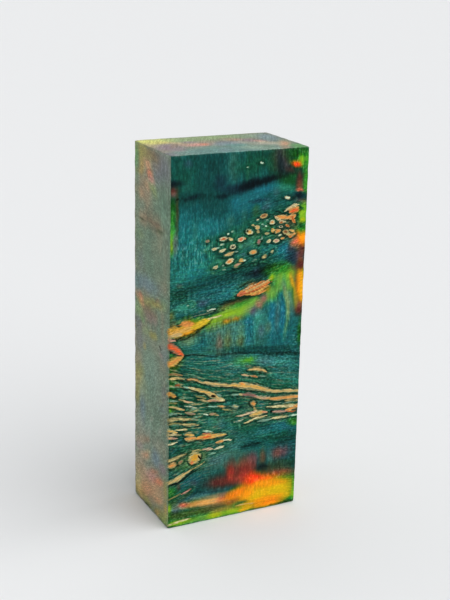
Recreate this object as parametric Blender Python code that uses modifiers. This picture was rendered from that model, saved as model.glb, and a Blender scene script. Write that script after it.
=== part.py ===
"""Stabilized burl block: one sawn and sanded piece of dyed, resin-filled burl wood.

Metres, +Z up. The block stands on one of its small ends, with the origin at the middle of that
end. Its width runs along X and its thickness along Y, and the broad face with the rows of burl
eyes looks along -Y.
"""

import math

import bpy
from mathutils import Matrix, Vector

# The sawn size of the block.
BLOCK_WIDTH = 0.050
BLOCK_THICKNESS = 0.030
BLOCK_HEIGHT = 0.130

# The sanding that takes the sharpness off every edge.
ARRIS_WIDTH = 0.0004
ARRIS_SEGMENTS = 2

# The voids that the resin left open are shallow almond-shaped pits in a face. Each is a name,
# the face that it opens in, how far it lies along that face from the near vertical edge and
# above the base, its length, width and depth, and its slope in degrees, rising away from the
# near edge.
FRONT = "front"
LEFT = "left"
OPEN_VOIDS = (
    ("bark_pocket", FRONT, 0.0165, 0.0467, 0.0019, 0.0010, 0.0014, -20),
    ("knot_check", FRONT, 0.0117, 0.0248, 0.0024, 0.0006, 0.0013, -58),
    ("eye_pit", FRONT, 0.0393, 0.0373, 0.0011, 0.0008, 0.0009, 8),
    ("eye_crack", FRONT, 0.0278, 0.1033, 0.0010, 0.0007, 0.0008, 70),
    ("side_check", LEFT, 0.0075, 0.0640, 0.0027, 0.0007, 0.0014, 32),
)
VOID_SEGMENTS = 14
VOID_RINGS = 9

# The look of the wood where it is deepest dyed.
WOOD_COLOUR = (0.020, 0.115, 0.130, 1.0)
WOOD_ROUGHNESS = 0.42


def clear_scene():
    """Removes whatever the scene held."""
    for old in list(bpy.data.objects):
        bpy.data.objects.remove(old, do_unlink=True)


def new_collection(name):
    """A collection that hangs directly under the scene."""
    collection = bpy.data.collections.new(name)
    bpy.context.scene.collection.children.link(collection)
    return collection


def move_to(obj, collection):
    """Takes the object out of the collections that hold it and puts it in this one."""
    for holder in list(obj.users_collection):
        holder.objects.unlink(obj)
    collection.objects.link(obj)


def dyed_wood():
    """The teal dyed and resin-filled wood, sanded to a satin."""
    material = bpy.data.materials.new("dyed_burl")
    material.use_nodes = True
    shader = material.node_tree.nodes["Principled BSDF"]
    shader.inputs["Base Color"].default_value = WOOD_COLOUR
    shader.inputs["Roughness"].default_value = WOOD_ROUGHNESS
    shader.inputs["Metallic"].default_value = 0.0
    return material


def sawn_block(collection):
    """The block itself, with its arrises eased by a narrow bevel."""
    bpy.ops.mesh.primitive_cube_add(size=1.0)
    block = bpy.context.object
    block.name = "burl_block"
    stretch = Matrix.Diagonal((BLOCK_WIDTH, BLOCK_THICKNESS, BLOCK_HEIGHT, 1.0))
    lift = Matrix.Translation((0.0, 0.0, BLOCK_HEIGHT / 2))
    block.data.transform(lift @ stretch)

    arris = block.modifiers.new("eased_arrises", "BEVEL")
    arris.width = ARRIS_WIDTH
    arris.segments = ARRIS_SEGMENTS
    arris.limit_method = "ANGLE"

    block.data.materials.append(dyed_wood())
    move_to(block, collection)
    return block


def face_edge(face):
    """The near bottom corner of a face, and the unit direction that runs along it from there."""
    corner = Vector((-BLOCK_WIDTH / 2, -BLOCK_THICKNESS / 2, 0.0))
    if face == FRONT:
        return corner, Vector((1, 0, 0))
    return corner, Vector((0, 1, 0))


def void_cutter(name, face, along, up, length, width, depth, slope, collection):
    """An almond-shaped solid, half of it inside the wood, that cuts one open void."""
    bpy.ops.mesh.primitive_uv_sphere_add(
        segments=VOID_SEGMENTS, ring_count=VOID_RINGS, radius=1.0
    )
    cutter = bpy.context.object
    cutter.name = name + "_cutter"

    corner, run = face_edge(face)
    lean = math.radians(slope)
    rise = Vector((0, 0, 1))
    long_way = run * math.cos(lean) + rise * math.sin(lean)
    short_way = rise * math.cos(lean) - run * math.sin(lean)
    across_face = long_way.cross(short_way)
    turn = Matrix((short_way, across_face, long_way)).transposed().to_4x4()
    shape = Matrix.Diagonal((width / 2, depth, length / 2, 1.0))
    place = Matrix.Translation(corner + run * along + rise * up)
    cutter.data.transform(place @ turn @ shape)

    cutter.hide_render = True
    cutter.display_type = "WIRE"
    move_to(cutter, collection)


def cut_open_voids(block, cutters):
    """Takes every void out of the block in one cut."""
    for void in OPEN_VOIDS:
        void_cutter(*void, collection=cutters)
    cut = block.modifiers.new("open_voids", "BOOLEAN")
    cut.operation = "DIFFERENCE"
    cut.solver = "EXACT"
    cut.operand_type = "COLLECTION"
    cut.collection = cutters


clear_scene()
wood = new_collection("stabilized_burl_block")
void_shapes = new_collection("void_cutters")
burl_block = sawn_block(wood)
cut_open_voids(burl_block, void_shapes)
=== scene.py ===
"""The stabilized burl block: one sawn and sanded piece of burl wood, dyed in several baths and
filled with resin, standing on end on a pale floor in soft light."""

import math

import bmesh
import bpy
import numpy as np
from mathutils import Color, Matrix, Vector, noise


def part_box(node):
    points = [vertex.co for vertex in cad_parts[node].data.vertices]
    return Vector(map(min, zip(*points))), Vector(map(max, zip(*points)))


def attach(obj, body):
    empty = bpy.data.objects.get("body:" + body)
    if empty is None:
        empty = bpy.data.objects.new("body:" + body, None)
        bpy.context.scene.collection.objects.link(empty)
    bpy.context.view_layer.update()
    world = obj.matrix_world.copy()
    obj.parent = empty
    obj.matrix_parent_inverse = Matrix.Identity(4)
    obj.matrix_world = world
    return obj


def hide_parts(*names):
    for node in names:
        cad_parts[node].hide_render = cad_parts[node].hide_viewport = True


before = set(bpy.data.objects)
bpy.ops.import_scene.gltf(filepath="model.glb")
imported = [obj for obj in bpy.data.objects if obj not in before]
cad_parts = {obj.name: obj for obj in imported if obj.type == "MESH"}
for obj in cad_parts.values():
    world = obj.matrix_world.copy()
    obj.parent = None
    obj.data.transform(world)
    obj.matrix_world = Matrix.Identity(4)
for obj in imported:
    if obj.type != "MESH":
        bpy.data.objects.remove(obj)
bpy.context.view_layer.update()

# The sawn block
# One piece of burl, sawn square, filled with resin and sawn again to its finished size. Sanding
# takes the sharpness off its twelve edges. From here on the figure is laid out in millimetres
# from the near left corner of the base: across the show face, into the block, and up.
MM = 0.001
ARRIS = 0.4
ARRIS_STEPS = 3
low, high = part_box("burl_block")
WIDTH, THICK, TALL = (high - low) / MM
sawn_size = np.array((WIDTH, THICK, TALL))

# The mesh is cut into cells of about this length. An edge runs along an axis when nearly all of
# its length does, and a point lies on a face when it is this near to it.
CELL = 0.72
NEARLY_ALL = 0.99
ON_FACE = 1e-4


def runs_along(edge, axis):
    """True for an edge that runs along this axis and is long enough to be cut into cells."""
    run = edge.verts[1].co - edge.verts[0].co
    return abs(run[axis]) > max(NEARLY_ALL * run.length, 2 * ARRIS)


net = bmesh.new()
bmesh.ops.create_cube(net, size=1.0)
bmesh.ops.translate(net, vec=(0.5, 0.5, 0.5), verts=net.verts)
bmesh.ops.scale(net, vec=(WIDTH, THICK, TALL), verts=net.verts)
bmesh.ops.bevel(
    net, geom=net.edges[:], offset=ARRIS, segments=ARRIS_STEPS, profile=0.5, affect="EDGES"
)
for axis, length in enumerate(sawn_size):
    cut = [edge for edge in net.edges if runs_along(edge, axis)]
    bmesh.ops.subdivide_edges(net, edges=cut, cuts=round(length / CELL) - 1)

# The cells of the show face are halved, because the eyes and streaks on it are the finest.
show_edges = [edge for edge in net.edges if max(abs(v.co.y) for v in edge.verts) < ON_FACE]
bmesh.ops.subdivide_edges(net, edges=show_edges, cuts=1, use_grid_fill=True)

# The open voids
# Where bark, a check or the heart of an eye left a gap that the resin didn't close, the face
# has a shallow almond-shaped pit. Each is its face, its place along that face and up from the
# base, its length, width and depth, and its slope in degrees.
VOIDS = (
    ("show", 16.5, 46.7, 1.9, 1.0, 1.3, -20),
    ("show", 11.7, 24.8, 2.4, 0.6, 1.2, -58),
    ("show", 39.3, 37.3, 1.1, 0.8, 0.8, 8),
    ("show", 27.8, 103.3, 1.0, 0.7, 0.7, 70),
    ("left", 22.5, 64.0, 2.7, 0.7, 1.3, -32),
)

# The cells round a void are halved this often, out to this margin. The painted shade of a pit
# begins just outside its rim, where 1 is the rim and 0 the middle, and is full this much further
# in.
VOID_REFINING = 2
VOID_MARGIN = 1.6
DARK_FROM = 1.1
DARK_SOFT = 0.3


def laid_out(spots):
    """For each face, how far every spot lies along it, up it, and behind it."""
    across, into, up = spots.T
    return {
        "show": (across, up, into),
        "back": (WIDTH - across, up, THICK - into),
        "left": (THICK - into, up, across),
        "right": (into, up, WIDTH - across),
        "top": (across, into, TALL - up),
        "base": (across, into, up),
    }


def from_oval(along, up, place, size, slope):
    """How far spots lie from an oval's middle, where 1 is its rim, and how far above it."""
    lean = math.radians(slope)
    run, rise = along - place[0], up - place[1]
    long_way = run * math.cos(lean) + rise * math.sin(lean)
    short_way = rise * math.cos(lean) - run * math.sin(lean)
    ratio = np.hypot(long_way / (size[0] / 2), short_way / (size[1] / 2))
    return ratio, short_way / (size[1] / 2)


def spots_of(points):
    """The places of a mesh's points as rows of numbers."""
    return np.array([point.co for point in points])


for face, place_along, place_up, length, width, depth, slope in VOIDS:
    for _ in range(VOID_REFINING):
        net.verts.ensure_lookup_table()
        along, up, behind = laid_out(spots_of(net.verts))[face]
        near = np.hypot(along - place_along, up - place_up) < length / 2 + VOID_MARGIN
        near &= behind < ON_FACE
        fine = [edge for edge in net.edges if all(near[v.index] for v in edge.verts)]
        bmesh.ops.subdivide_edges(net, edges=fine, cuts=1, use_grid_fill=True)
        net.verts.index_update()

block_mesh = bpy.data.meshes.new("burl_block_wood")
net.to_mesh(block_mesh)
net.free()
spots = spots_of(block_mesh.vertices)
faces = laid_out(spots)

# Each pit is sunk into the face, and its inside is marked for painted shade.
void_shade = np.zeros(len(spots))
sunk = spots.copy()
for face, place_along, place_up, length, width, depth, slope in VOIDS:
    along, up, behind = faces[face]
    ratio, _ = from_oval(along, up, (place_along, place_up), (length, width), slope)
    inward_axis = 1 if face == "show" else 0
    pit = depth * np.sqrt(np.clip(1 - ratio**2, 0, None))
    sunk[:, inward_axis] += np.where(behind < ON_FACE, pit, 0)
    dark = np.clip((DARK_FROM - ratio) / DARK_SOFT, 0, 1)
    void_shade = np.maximum(void_shade, np.where(behind < depth, dark, 0))

# The worn arrises
# Handling and sanding leave the edges uneven: they dip a little here and there, most of all at
# the corners. Every dip goes inward, so the block keeps its sawn size.
WEAR_REACH = 0.9
WEAR_DEPTH = 0.16
WEAR_LENGTH = 3.0
CORNER_REACH = 5.0

# The share of the depth that every edge has, and the share that a corner adds to it.
WEAR_ANYWHERE = 0.25
WEAR_AT_CORNERS = 0.5

# Two faces are equally near when their distances differ by less than this.
SAME_GAP = 1e-6

# How far apart the noises of two seeds lie.
SEED_STEPS = (17.3, 5.1, 9.7)


def wander(places, lengths, seed):
    """Smooth noise from -1 to 1, whose lumps have these lengths along each axis."""
    shift = Vector([seed * step for step in SEED_STEPS])
    rows = places / np.array(lengths)
    return np.array([noise.noise(Vector(row) + shift) for row in rows])


gap = np.minimum(spots, sawn_size - spots)
by_gap = np.sort(gap, axis=1)
at_edge = np.clip(1 - by_gap[:, 1] / WEAR_REACH, 0, 1)
at_corner = np.clip(1 - by_gap[:, 2] / CORNER_REACH, 0, 1)
uneven = wander(spots, (WEAR_LENGTH,) * 3, seed=1) + WEAR_ANYWHERE + WEAR_AT_CORNERS * at_corner
dip = WEAR_DEPTH * at_edge * np.clip(uneven, 0, 1)
toward_middle = np.where(spots < sawn_size / 2, 1, -1)
edge_side = gap <= by_gap[:, 1:2] + SAME_GAP
sunk += toward_middle * edge_side * dip[:, None]

# The growth layers
# A burl's layers swell and fan round its buds. Each row is one layer, given by its height on
# the show face at the left edge, at each quarter of the width and at the right edge.
LAYERS = (
    (-20, -20, -20, -20, -20),
    (0, 0.5, 0.5, 0.5, 0.5),
    (7, 7.1, 6.4, 5, 4),
    (11, 14.5, 14, 12, 10),
    (17.2, 21.7, 23.5, 22, 20),
    (25.3, 27.2, 28.7, 29, 29.5),
    (33.4, 33, 33.2, 33.8, 34.3),
    (40.2, 39, 38.5, 37.6, 37.2),
    (44.8, 43.4, 41.6, 41.6, 40.8),
    (49.5, 46.8, 45.9, 42.9, 41.6),
    (57, 52.2, 49.5, 45.7, 43.6),
    (63.6, 62, 60.9, 59.4, 57.4),
    (71, 73.4, 75.6, 79, 83),
    (80, 80.6, 81.9, 86, 90),
    (88, 88.5, 90.5, 92, 95),
    (98, 98.6, 101, 105.5, 109.5),
    (114, 115.5, 117.6, 120.2, 122),
    (130, 130, 131, 132.5, 134),
    (160, 160, 160, 160, 160),
)

# Behind the show face the upper layers climb a little towards the back and the lower ones drop
# steeply: at these heights, by so many millimetres for each one further in.
CLIMB_HEIGHTS = (0, 36, 110, 130)
CLIMBS = (-0.45, -0.42, 0.06, 0.12)


def layer_height(across, up):
    """Which layer runs through each spot of the show face, counted in average millimetres."""
    stations = np.linspace(0, WIDTH, len(LAYERS[0]))
    heights = np.array([np.interp(across, stations, layer) for layer in LAYERS])
    number = np.zeros(len(across))
    for lower, upper, below, above in zip(heights, heights[1:], LAYERS, LAYERS[1:]):
        share = np.clip((up - lower) / (upper - lower), 0, 1)
        number += share * (np.mean(above) - np.mean(below))
    return number + np.mean(LAYERS[0])


# The figure was read off three faces with a rule that didn't quite start at the edge, and whose
# divisions were a little off. Each face has where its rule starts and how long a division is.
RULES = {
    "show": (0.15, 0.4, 0.982, 0.995),
    "left": (1.6, -0.5, 0.958, 1.0),
    "top": (-1.8, -1.0, 1.0, 0.943),
}
for face, (start_along, start_up, step_along, step_up) in RULES.items():
    along, up, behind = faces[face]
    faces[face] = (along - start_along) / step_along, (up - start_up) / step_up, behind

across, into, up = spots.T
climb = np.interp(up, CLIMB_HEIGHTS, CLIMBS)
layer = layer_height(across, up - climb * into)

# The dye baths
# The wood is vacuum dyed: a deep teal reaches everywhere, and pools of green, yellow, orange,
# red and plum dye soak in from the ends and the checks. Pools overlap like glazes and bleed
# along the fibres. Colours are as the eye reads them, in hexadecimal.
DYES = {
    "teal": "0D4E48",
    "deep teal": "08403C",
    "sea": "0C5A60",
    "blue teal": "16676E",
    "bright blue": "146E82",
    "deep blue": "08588A",
    "pale teal": "3C8C82",
    "mint teal": "3FA088",
    "lagoon": "1A8078",
    "reed": "74925E",
    "fern": "348250",
    "forest": "38561A",
    "bottle": "084A34",
    "jade": "24685E",
    "moss": "406A5A",
    "sage": "2E5F55",
    "grey green": "4A7565",
    "grey blue": "466C70",
    "navy": "14303E",
    "ink": "04161C",
    "dark green": "0A4A12",
    "green": "23781F",
    "leaf": "4A9C28",
    "grass": "74A83C",
    "lime": "94C01E",
    "yellow": "F4C800",
    "gold": "F0AC10",
    "sulphur": "DEB800",
    "amber": "FF9A04",
    "orange": "FA8208",
    "coral": "D86848",
    "scarlet": "FF3A0C",
    "hot orange": "FC5C0C",
    "red": "B83C28",
    "crimson": "8C3024",
    "maroon": "5A2A22",
    "rust": "80482E",
    "brown": "6A5636",
    "rose": "A06458",
    "plum": "6E4248",
    "violet": "504A60",
    "olive": "6A6630",
    "umber": "4A3A1E",
    "khaki": "7E7034",
    "brass": "A08430",
    "ochre": "D09C18",
    "clay": "9A7A58",
    "apricot": "DA8444",
    "peach": "F0B05C",
    "tan": "B08C5A",
    "straw": "D0BC78",
}

# The narrow sides and the ends take paler, milky shades of the same dyes: a painted sheen.
SHEEN_PAINTED_DYES = {
    "grey": "8A937D",
    "teal": "76968E",
    "sea": "5C948C",
    "sage": "72907A",
    "mint": "90AC98",
    "green": "98B27A",
    "leaf": "62A25C",
    "yellow": "F0EE7A",
    "chalk": "C0BCAC",
    "olive": "A4A05C",
    "gold": "C0A05A",
    "cream": "D6C88E",
    "tan": "A8967A",
    "peach": "CCA27A",
    "coral": "D88C68",
    "pink": "D29A8C",
    "mauve": "96848A",
    "violet": "80848A",
    "blue": "7A929A",
    "brown": "8C745C",
    "dark": "2C3A20",
}
NARROW_FACES = ("left", "right", "top", "base")

# However deep a dye is, this share of the light comes back.
DEEPEST = 0.0015

# Each pool is its dye, its place along and up the face, its half width and half height, its
# strength and, where it lies askew, its slope in degrees.
SHOW_POOLS = (
    # The ground: deep teal at the top, paler and greener lower down
    ("sea", 14, 106, 30, 9, 0.6),
    ("jade", 16, 88, 40, 11, 0.9, 10),
    ("jade", 20, 68, 40, 12, 0.85),
    ("jade", 22, 53, 34, 9, 0.9, -10),
    ("moss", 22, 66, 10, 7, 0.75),
    ("jade", 26, 38, 30, 16, 0.6),
    ("moss", 18, 23, 18, 5, 0.85),
    ("grey green", 9, 24.6, 8, 2.6, 0.6),
    ("sea", 42, 27, 10, 4, 0.6),
    # The upper quarter of the face
    ("bottle", 4, 123, 6, 7, 0.5),
    ("deep teal", 14.5, 122, 4.4, 8, 0.8),
    ("navy", 17.6, 120.4, 2, 2.4, 0.6),
    ("sage", 22.4, 126, 2.2, 6, 0.9),
    ("sage", 5.6, 119.4, 1.6, 2.4, 0.4),
    ("violet", 6, 127.3, 1.4, 1.4, 0.5),
    ("olive", 27.6, 125, 0.6, 5, 0.4),
    ("bottle", 32, 125.6, 7.6, 4.6, 0.85),
    ("sea", 33.6, 123.2, 1.8, 2, 0.5),
    ("ink", 28.4, 118.7, 7, 1.6, 0.9, 12),
    ("ink", 36, 120.3, 5, 0.9, 0.6, 8),
    ("navy", 21.6, 117.6, 4, 1.6, 0.7),
    ("deep teal", 10, 116.2, 11, 1.7, 0.85),
    ("ink", 7.8, 116.4, 2.4, 0.7, 0.5, 12),
    ("ink", 18.6, 115.8, 2, 0.8, 0.5),
    ("dark green", 44, 120.6, 4, 3.6, 0.7),
    ("ink", 42.4, 123.2, 3.4, 1.9, 0.6),
    ("blue teal", 26.4, 113.6, 3.6, 2.6, 0.8, 20),
    ("bright blue", 34, 117, 4.6, 1.5, 0.8, 12),
    ("blue teal", 30.4, 115.2, 4.4, 1.7, 0.9, 16),
    ("mint teal", 42, 117, 3.8, 1.3, 0.6, -6),
    ("grey blue", 38.4, 115.6, 1.3, 1.4, 0.7),
    ("navy", 32, 113.4, 3.4, 0.6, 0.6, 6),
    ("grey blue", 35.4, 111.9, 2.2, 1.6, 0.6, 20),
    ("violet", 34.4, 110.6, 1.6, 0.9, 0.4, 20),
    ("sage", 39.6, 111, 1.8, 1, 0.5),
    ("blue teal", 13.4, 105.4, 4, 3, 0.9),
    ("blue teal", 4.4, 108.4, 2.6, 3.4, 0.6),
    ("blue teal", 23, 112, 2.6, 3, 0.6),
    ("bright blue", 23.4, 113.4, 1.4, 1.8, 0.35),
    ("moss", 21.6, 107.4, 1.6, 2, 0.6),
    ("moss", 26.6, 108.4, 1, 2.6, 0.5),
    ("olive", 31.2, 109.8, 1.4, 2, 0.55),
    ("moss", 8.7, 104.4, 1, 3.4, 0.6),
    ("violet", 3.8, 100.6, 1.6, 1, 0.5),
    ("umber", 38.6, 127, 2.6, 4.6, 0.6),
    ("plum", 41.6, 127, 3, 4.2, 0.8, 12),
    ("ink", 39.8, 125.4, 1.2, 3.4, 0.5, 10),
    ("dark green", 46.8, 128.2, 4.6, 3.4, 1, -20),
    ("green", 49, 128.2, 2.2, 1.8, 0.6, -20),
    ("leaf", 49.2, 125.4, 2.6, 2, 1, -10),
    ("lime", 48.8, 126, 2.2, 1.2, 1, -14),
    ("orange", 46.2, 124.8, 2.2, 1, 1, -16),
    ("scarlet", 45.8, 124.5, 1.5, 0.7, 0.8, -20),
    ("maroon", 44, 122.8, 2, 1, 0.6, -20),
    ("green", 49.8, 119, 1.4, 8, 1),
    ("leaf", 50, 117.5, 0.8, 4, 0.5),
    ("maroon", 47.4, 119.2, 1.3, 3.4, 0.9),
    ("rust", 47.6, 117.2, 1.2, 1.6, 0.8),
    ("coral", 47.6, 115.7, 1.7, 0.6, 1, -4),
    ("ink", 47.6, 113.6, 3.4, 1.1, 0.95),
    ("sea", 49.4, 113.8, 1.2, 1.2, 0.5),
    ("plum", 48, 111.9, 2.6, 1, 0.95, -8),
    # The left edge, upper half
    ("ink", 0.8, 121.2, 2.6, 1, 0.85),
    ("maroon", 0.6, 119, 1.9, 1.5, 0.95),
    ("rose", 1, 117.4, 1.4, 1.2, 0.7),
    ("dark green", 0.4, 113.6, 1.7, 2.4, 1),
    ("green", 0.4, 109.6, 1.6, 3.4, 1),
    ("leaf", 0.5, 105, 1.5, 2.6, 1),
    ("gold", 0.2, 101, 1.2, 3, 1),
    ("lime", 0, 103.4, 0.7, 2, 0.7),
    ("rose", 1.7, 101.4, 0.7, 3.2, 0.95),
    ("umber", 2.3, 111, 0.6, 8, 0.8),
    ("rose", 1.9, 100.6, 0.8, 3.4, 0.9),
    # The ground round the eyes
    ("bottle", 31, 103, 12, 5, 0.35, 18),
    ("bottle", 20, 97, 7, 4.4, 0.3, 14),
    ("moss", 35.4, 104.2, 6, 3, 0.75, 10),
    ("moss", 28.4, 101.4, 3, 2, 0.5),
    ("jade", 28, 98.6, 3.6, 1.8, 0.9),
    ("grey blue", 27.6, 99, 2.2, 1.2, 0.6),
    ("sea", 24.6, 95.6, 2, 1.4, 0.8),
    ("violet", 26.8, 95.3, 1, 0.7, 0.5),
    ("moss", 31.6, 102.4, 1.4, 1.8, 0.6),
    ("green", 37.4, 104.2, 2.4, 1.2, 0.35),
    ("blue teal", 37, 96.8, 4, 1.8, 0.8),
    ("sea", 34.4, 97, 2.4, 1.4, 0.6),
    ("blue teal", 9, 90.4, 2.4, 1.8, 0.8),
    ("sage", 9, 98.5, 7, 2, 0.4, 8),
    ("lagoon", 9, 100, 10, 8, 0.55),
    ("lagoon", 9, 90.6, 8, 3.4, 0.5, 6),
    ("fern", 33.4, 102.6, 8, 4, 0.6, 10),
    ("fern", 22, 100.4, 5, 2.4, 0.5),
    ("fern", 21, 93, 5, 1.8, 0.5),
    ("deep teal", 17, 111.6, 4, 2.4, 0.5),
    # The glowing corner beside the eyes
    ("bottle", 41.6, 108.6, 3.6, 2.2, 0.8, 15),
    ("plum", 43, 104.4, 3.4, 1.2, 1),
    ("ink", 41.4, 104.6, 2, 0.7, 0.5),
    ("leaf", 49, 107.4, 2.6, 3.4, 1),
    ("lime", 48.8, 108.2, 2.2, 2.6, 0.9),
    ("lime", 50.2, 100.8, 1, 1.5, 0.7),
    ("rust", 46.4, 104, 2, 1.4, 0.6),
    ("yellow", 49.2, 105.2, 1.4, 1.2, 0.7),
    ("dark green", 47.2, 106.2, 0.7, 1.6, 0.7),
    ("dark green", 48.6, 109.6, 1, 0.4, 0.7, -30),
    ("green", 48.8, 102.6, 3, 1.7, 1, -20),
    ("dark green", 48.4, 103.6, 1.8, 0.6, 0.6, -30),
    ("gold", 46.2, 101, 1.8, 1.2, 0.9, -20),
    ("amber", 46.9, 100.2, 2, 1.7, 0.8, -14),
    ("orange", 48.6, 97.8, 3.4, 2.9, 1, -14),
    ("amber", 49.8, 99.2, 2, 1.6, 1),
    ("coral", 45.8, 99, 1.8, 1.8, 1, 24),
    ("rust", 44, 104.5, 3.4, 1.2, 0.9),
    ("rust", 43, 101.6, 3.4, 2.2, 0.8),
    ("rust", 41.8, 100.6, 2.6, 2.2, 0.9),
    ("rose", 44.4, 98.6, 1, 1.4, 0.6, 20),
    ("bright blue", 42.4, 96, 3, 3, 0.95),
    ("blue teal", 41.6, 93.6, 2.6, 2, 0.7),
    ("coral", 46.4, 97.4, 1.9, 1.7, 0.9),
    ("plum", 45.2, 95.6, 1.4, 1, 0.7),
    ("navy", 46.4, 92.8, 2.6, 3, 1),
    ("plum", 48.8, 93, 2, 3, 0.9),
    ("maroon", 49.8, 94.6, 1.4, 2, 0.7),
    # Under the eyes
    ("deep teal", 24, 89.8, 6, 2, 0.75, 12),
    ("bottle", 33, 91.6, 8, 1.4, 0.6, 10),
    ("teal", 34, 93, 4, 1.2, 0.6, 10),
    ("ink", 33.2, 88.9, 4.6, 1.9, 0.75, 8),
    ("violet", 32, 89.4, 1.4, 0.9, 0.4),
    ("deep teal", 15, 87, 11, 2.8, 0.9, 10),
    ("blue teal", 16, 83.6, 8, 2, 0.55, 12),
    ("rose", 3.3, 87.3, 1.1, 0.8, 0.6),
    ("bottle", 3, 84, 4, 3, 0.45, 10),
    ("blue teal", 19, 81.4, 7, 1.4, 0.6, 12),
    ("mint teal", 5.4, 80, 3.2, 1.2, 0.85, 10),
    ("mint teal", 10, 78.4, 4, 0.8, 0.4),
    ("violet", 12, 80.6, 2.2, 1.3, 0.55),
    ("deep teal", 17, 78.8, 7, 1.3, 0.85, 8),
    ("deep teal", 6, 76, 7, 1, 0.8, 4),
    # Round the big orange lens, and the right edge beside it
    ("dark green", 37, 89.4, 3, 1.5, 0.95, 8),
    ("green", 41.6, 89.4, 3.6, 1.9, 1),
    ("leaf", 42, 86, 4.4, 3, 1),
    ("grass", 42.4, 84.6, 3.4, 2.8, 1),
    ("grey green", 39.8, 85.8, 1.2, 1.6, 0.75, -30),
    ("lime", 44.2, 86.6, 2.8, 1.8, 0.95, -14),
    ("lime", 38.2, 86.5, 1.3, 1.2, 1, 20),
    ("yellow", 38, 86, 0.8, 0.8, 0.6),
    ("grass", 41.8, 84.4, 3, 2.6, 0.8),
    ("leaf", 39.6, 82.4, 2, 3, 0.9),
    ("leaf", 44, 83.6, 2, 2.6, 0.9),
    ("grass", 45.4, 83, 1.2, 3, 0.8, 6),
    ("grey green", 45.4, 78, 1, 3.4, 0.9, 6),
    ("olive", 46.2, 88.6, 1.6, 1.4, 0.9),
    ("grass", 38.8, 80.2, 2.8, 2.8, 0.95),
    ("coral", 37, 82.4, 0.8, 0.8, 0.6),
    ("grass", 43.6, 84.4, 3.2, 3, 0.9),
    ("lime", 45.6, 86.8, 1.6, 1.4, 0.8),
    ("green", 42, 88.6, 3.6, 1.3, 0.5),
    ("brass", 46.4, 84, 1, 3, 0.9, 10),
    ("rust", 47.9, 82, 0.8, 6, 0.7, 4),
    ("orange", 49.3, 82.2, 1.4, 6.6, 1, 4),
    ("amber", 49.6, 82.2, 1.3, 6.2, 1, 3),
    ("dark green", 46.9, 79.4, 0.6, 3.4, 0.7, 6),
    ("ochre", 46.2, 83.6, 0.6, 2.6, 1, 16),
    ("gold", 50, 82.2, 0.9, 5.4, 1),
    ("maroon", 49.2, 89.8, 2, 1.5, 1),
    ("maroon", 49.4, 73.8, 1.9, 2.2, 1),
    ("rose", 49.4, 75.4, 1, 1, 0.6),
    ("umber", 28.6, 85.6, 3, 0.6, 0.6, 12),
    # The lime band
    ("olive", 20.6, 77.8, 3.6, 1.4, 0.95, 10),
    ("umber", 22.4, 78.8, 2.4, 0.6, 0.6, 10),
    ("leaf", 28.6, 78.6, 5.6, 2.6, 1, 10),
    ("grass", 30.4, 78, 4.6, 2.4, 1, 12),
    ("grass", 23, 75.4, 5.8, 2.6, 1, 10),
    ("green", 26.2, 78.6, 3.4, 1.2, 0.5, 10),
    ("grass", 27, 74.2, 4.6, 1.2, 0.6, 8),
    ("lime", 20.6, 75.2, 4, 1.4, 0.9, 10),
    ("lime", 26.6, 75.8, 3, 1.6, 0.7, 16),
    ("grass", 16, 72.8, 5, 1.9, 0.9, 6),
    ("reed", 30.2, 75.6, 3, 1.8, 0.8, 16),
    ("olive", 23, 73.2, 5, 1, 0.75, 2),
    ("umber", 25.6, 79.8, 4.6, 0.7, 0.9, 8),
    ("lime", 15.6, 73.8, 3.6, 1.6, 1, 8),
    ("rose", 34.9, 79.9, 1.5, 2.1, 0.95, 14),
    ("rose", 33.4, 77.4, 1.2, 1.6, 0.8, 24),
    ("brass", 38, 81, 1.6, 2, 0.5),
    ("ochre", 36.4, 82.4, 2.2, 1.2, 0.9, 14),
    ("orange", 21.2, 73, 1.4, 0.8, 0.85),
    ("orange", 24.6, 73.4, 1.2, 0.6, 0.7),
    ("violet", 31.4, 75, 1.3, 1.7, 0.85),
    ("grey blue", 33.6, 74.6, 1.6, 1.4, 0.6),
    # The yellow lens at the left edge
    ("umber", 4, 69.2, 5.6, 0.7, 0.95),
    ("umber", 9.8, 70.4, 3.4, 0.6, 0.9, 32),
    ("tan", 2, 71.6, 4.6, 1.6, 1),
    ("gold", 3, 71, 4.4, 1.1, 0.9),
    ("rust", 1.2, 74, 1.7, 1, 0.9),
    ("olive", 3.6, 75, 1.6, 0.8, 0.8),
    ("yellow", 8.6, 72.6, 4.4, 1.8, 1, 14),
    ("amber", 6.6, 70.8, 3, 1.2, 0.9, 14),
    ("orange", 6.5, 74, 2.2, 1.9, 1),
    ("lime", 9.6, 75, 2.2, 0.7, 0.8),
    ("green", 12.6, 75.4, 2.4, 0.6, 0.6),
    ("olive", 0.2, 77, 1.4, 2, 0.8),
    # The upright fan below the lime band
    ("blue teal", 38.8, 71, 1.6, 10, 0.9),
    ("bright blue", 38.6, 74, 1.1, 6.5, 0.9),
    ("grey blue", 40.9, 71, 1.1, 9, 0.7),
    ("bright blue", 42.8, 72, 1.2, 10, 0.95),
    ("sea", 41.4, 79.4, 1.8, 1.4, 0.8),
    ("grass", 38.4, 80.6, 1.8, 2.2, 0.9),
    ("sea", 41.6, 64.6, 3.4, 3, 0.7),
    ("bright blue", 29.4, 71.6, 2.2, 2.4, 0.8),
    ("blue teal", 30, 67.4, 2, 4.4, 0.9),
    ("mint teal", 33.4, 72.6, 2.2, 2.4, 0.6),
    ("sea", 10.8, 66.4, 3.4, 2.2, 0.7),
    ("grey green", 6.6, 67.4, 4, 1.8, 0.8),
    ("reed", 6.8, 68, 3.4, 1.4, 0.6),
    ("moss", 17, 71, 4.6, 2.4, 0.35),
    ("grey green", 24, 69.6, 3.6, 3.4, 0.6),
    ("rust", 18.4, 65, 1.2, 3.4, 0.35),
    ("rose", 18.6, 65, 1.2, 3.4, 0.35),
    ("olive", 21.6, 65.6, 1.4, 3.2, 0.55),
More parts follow.
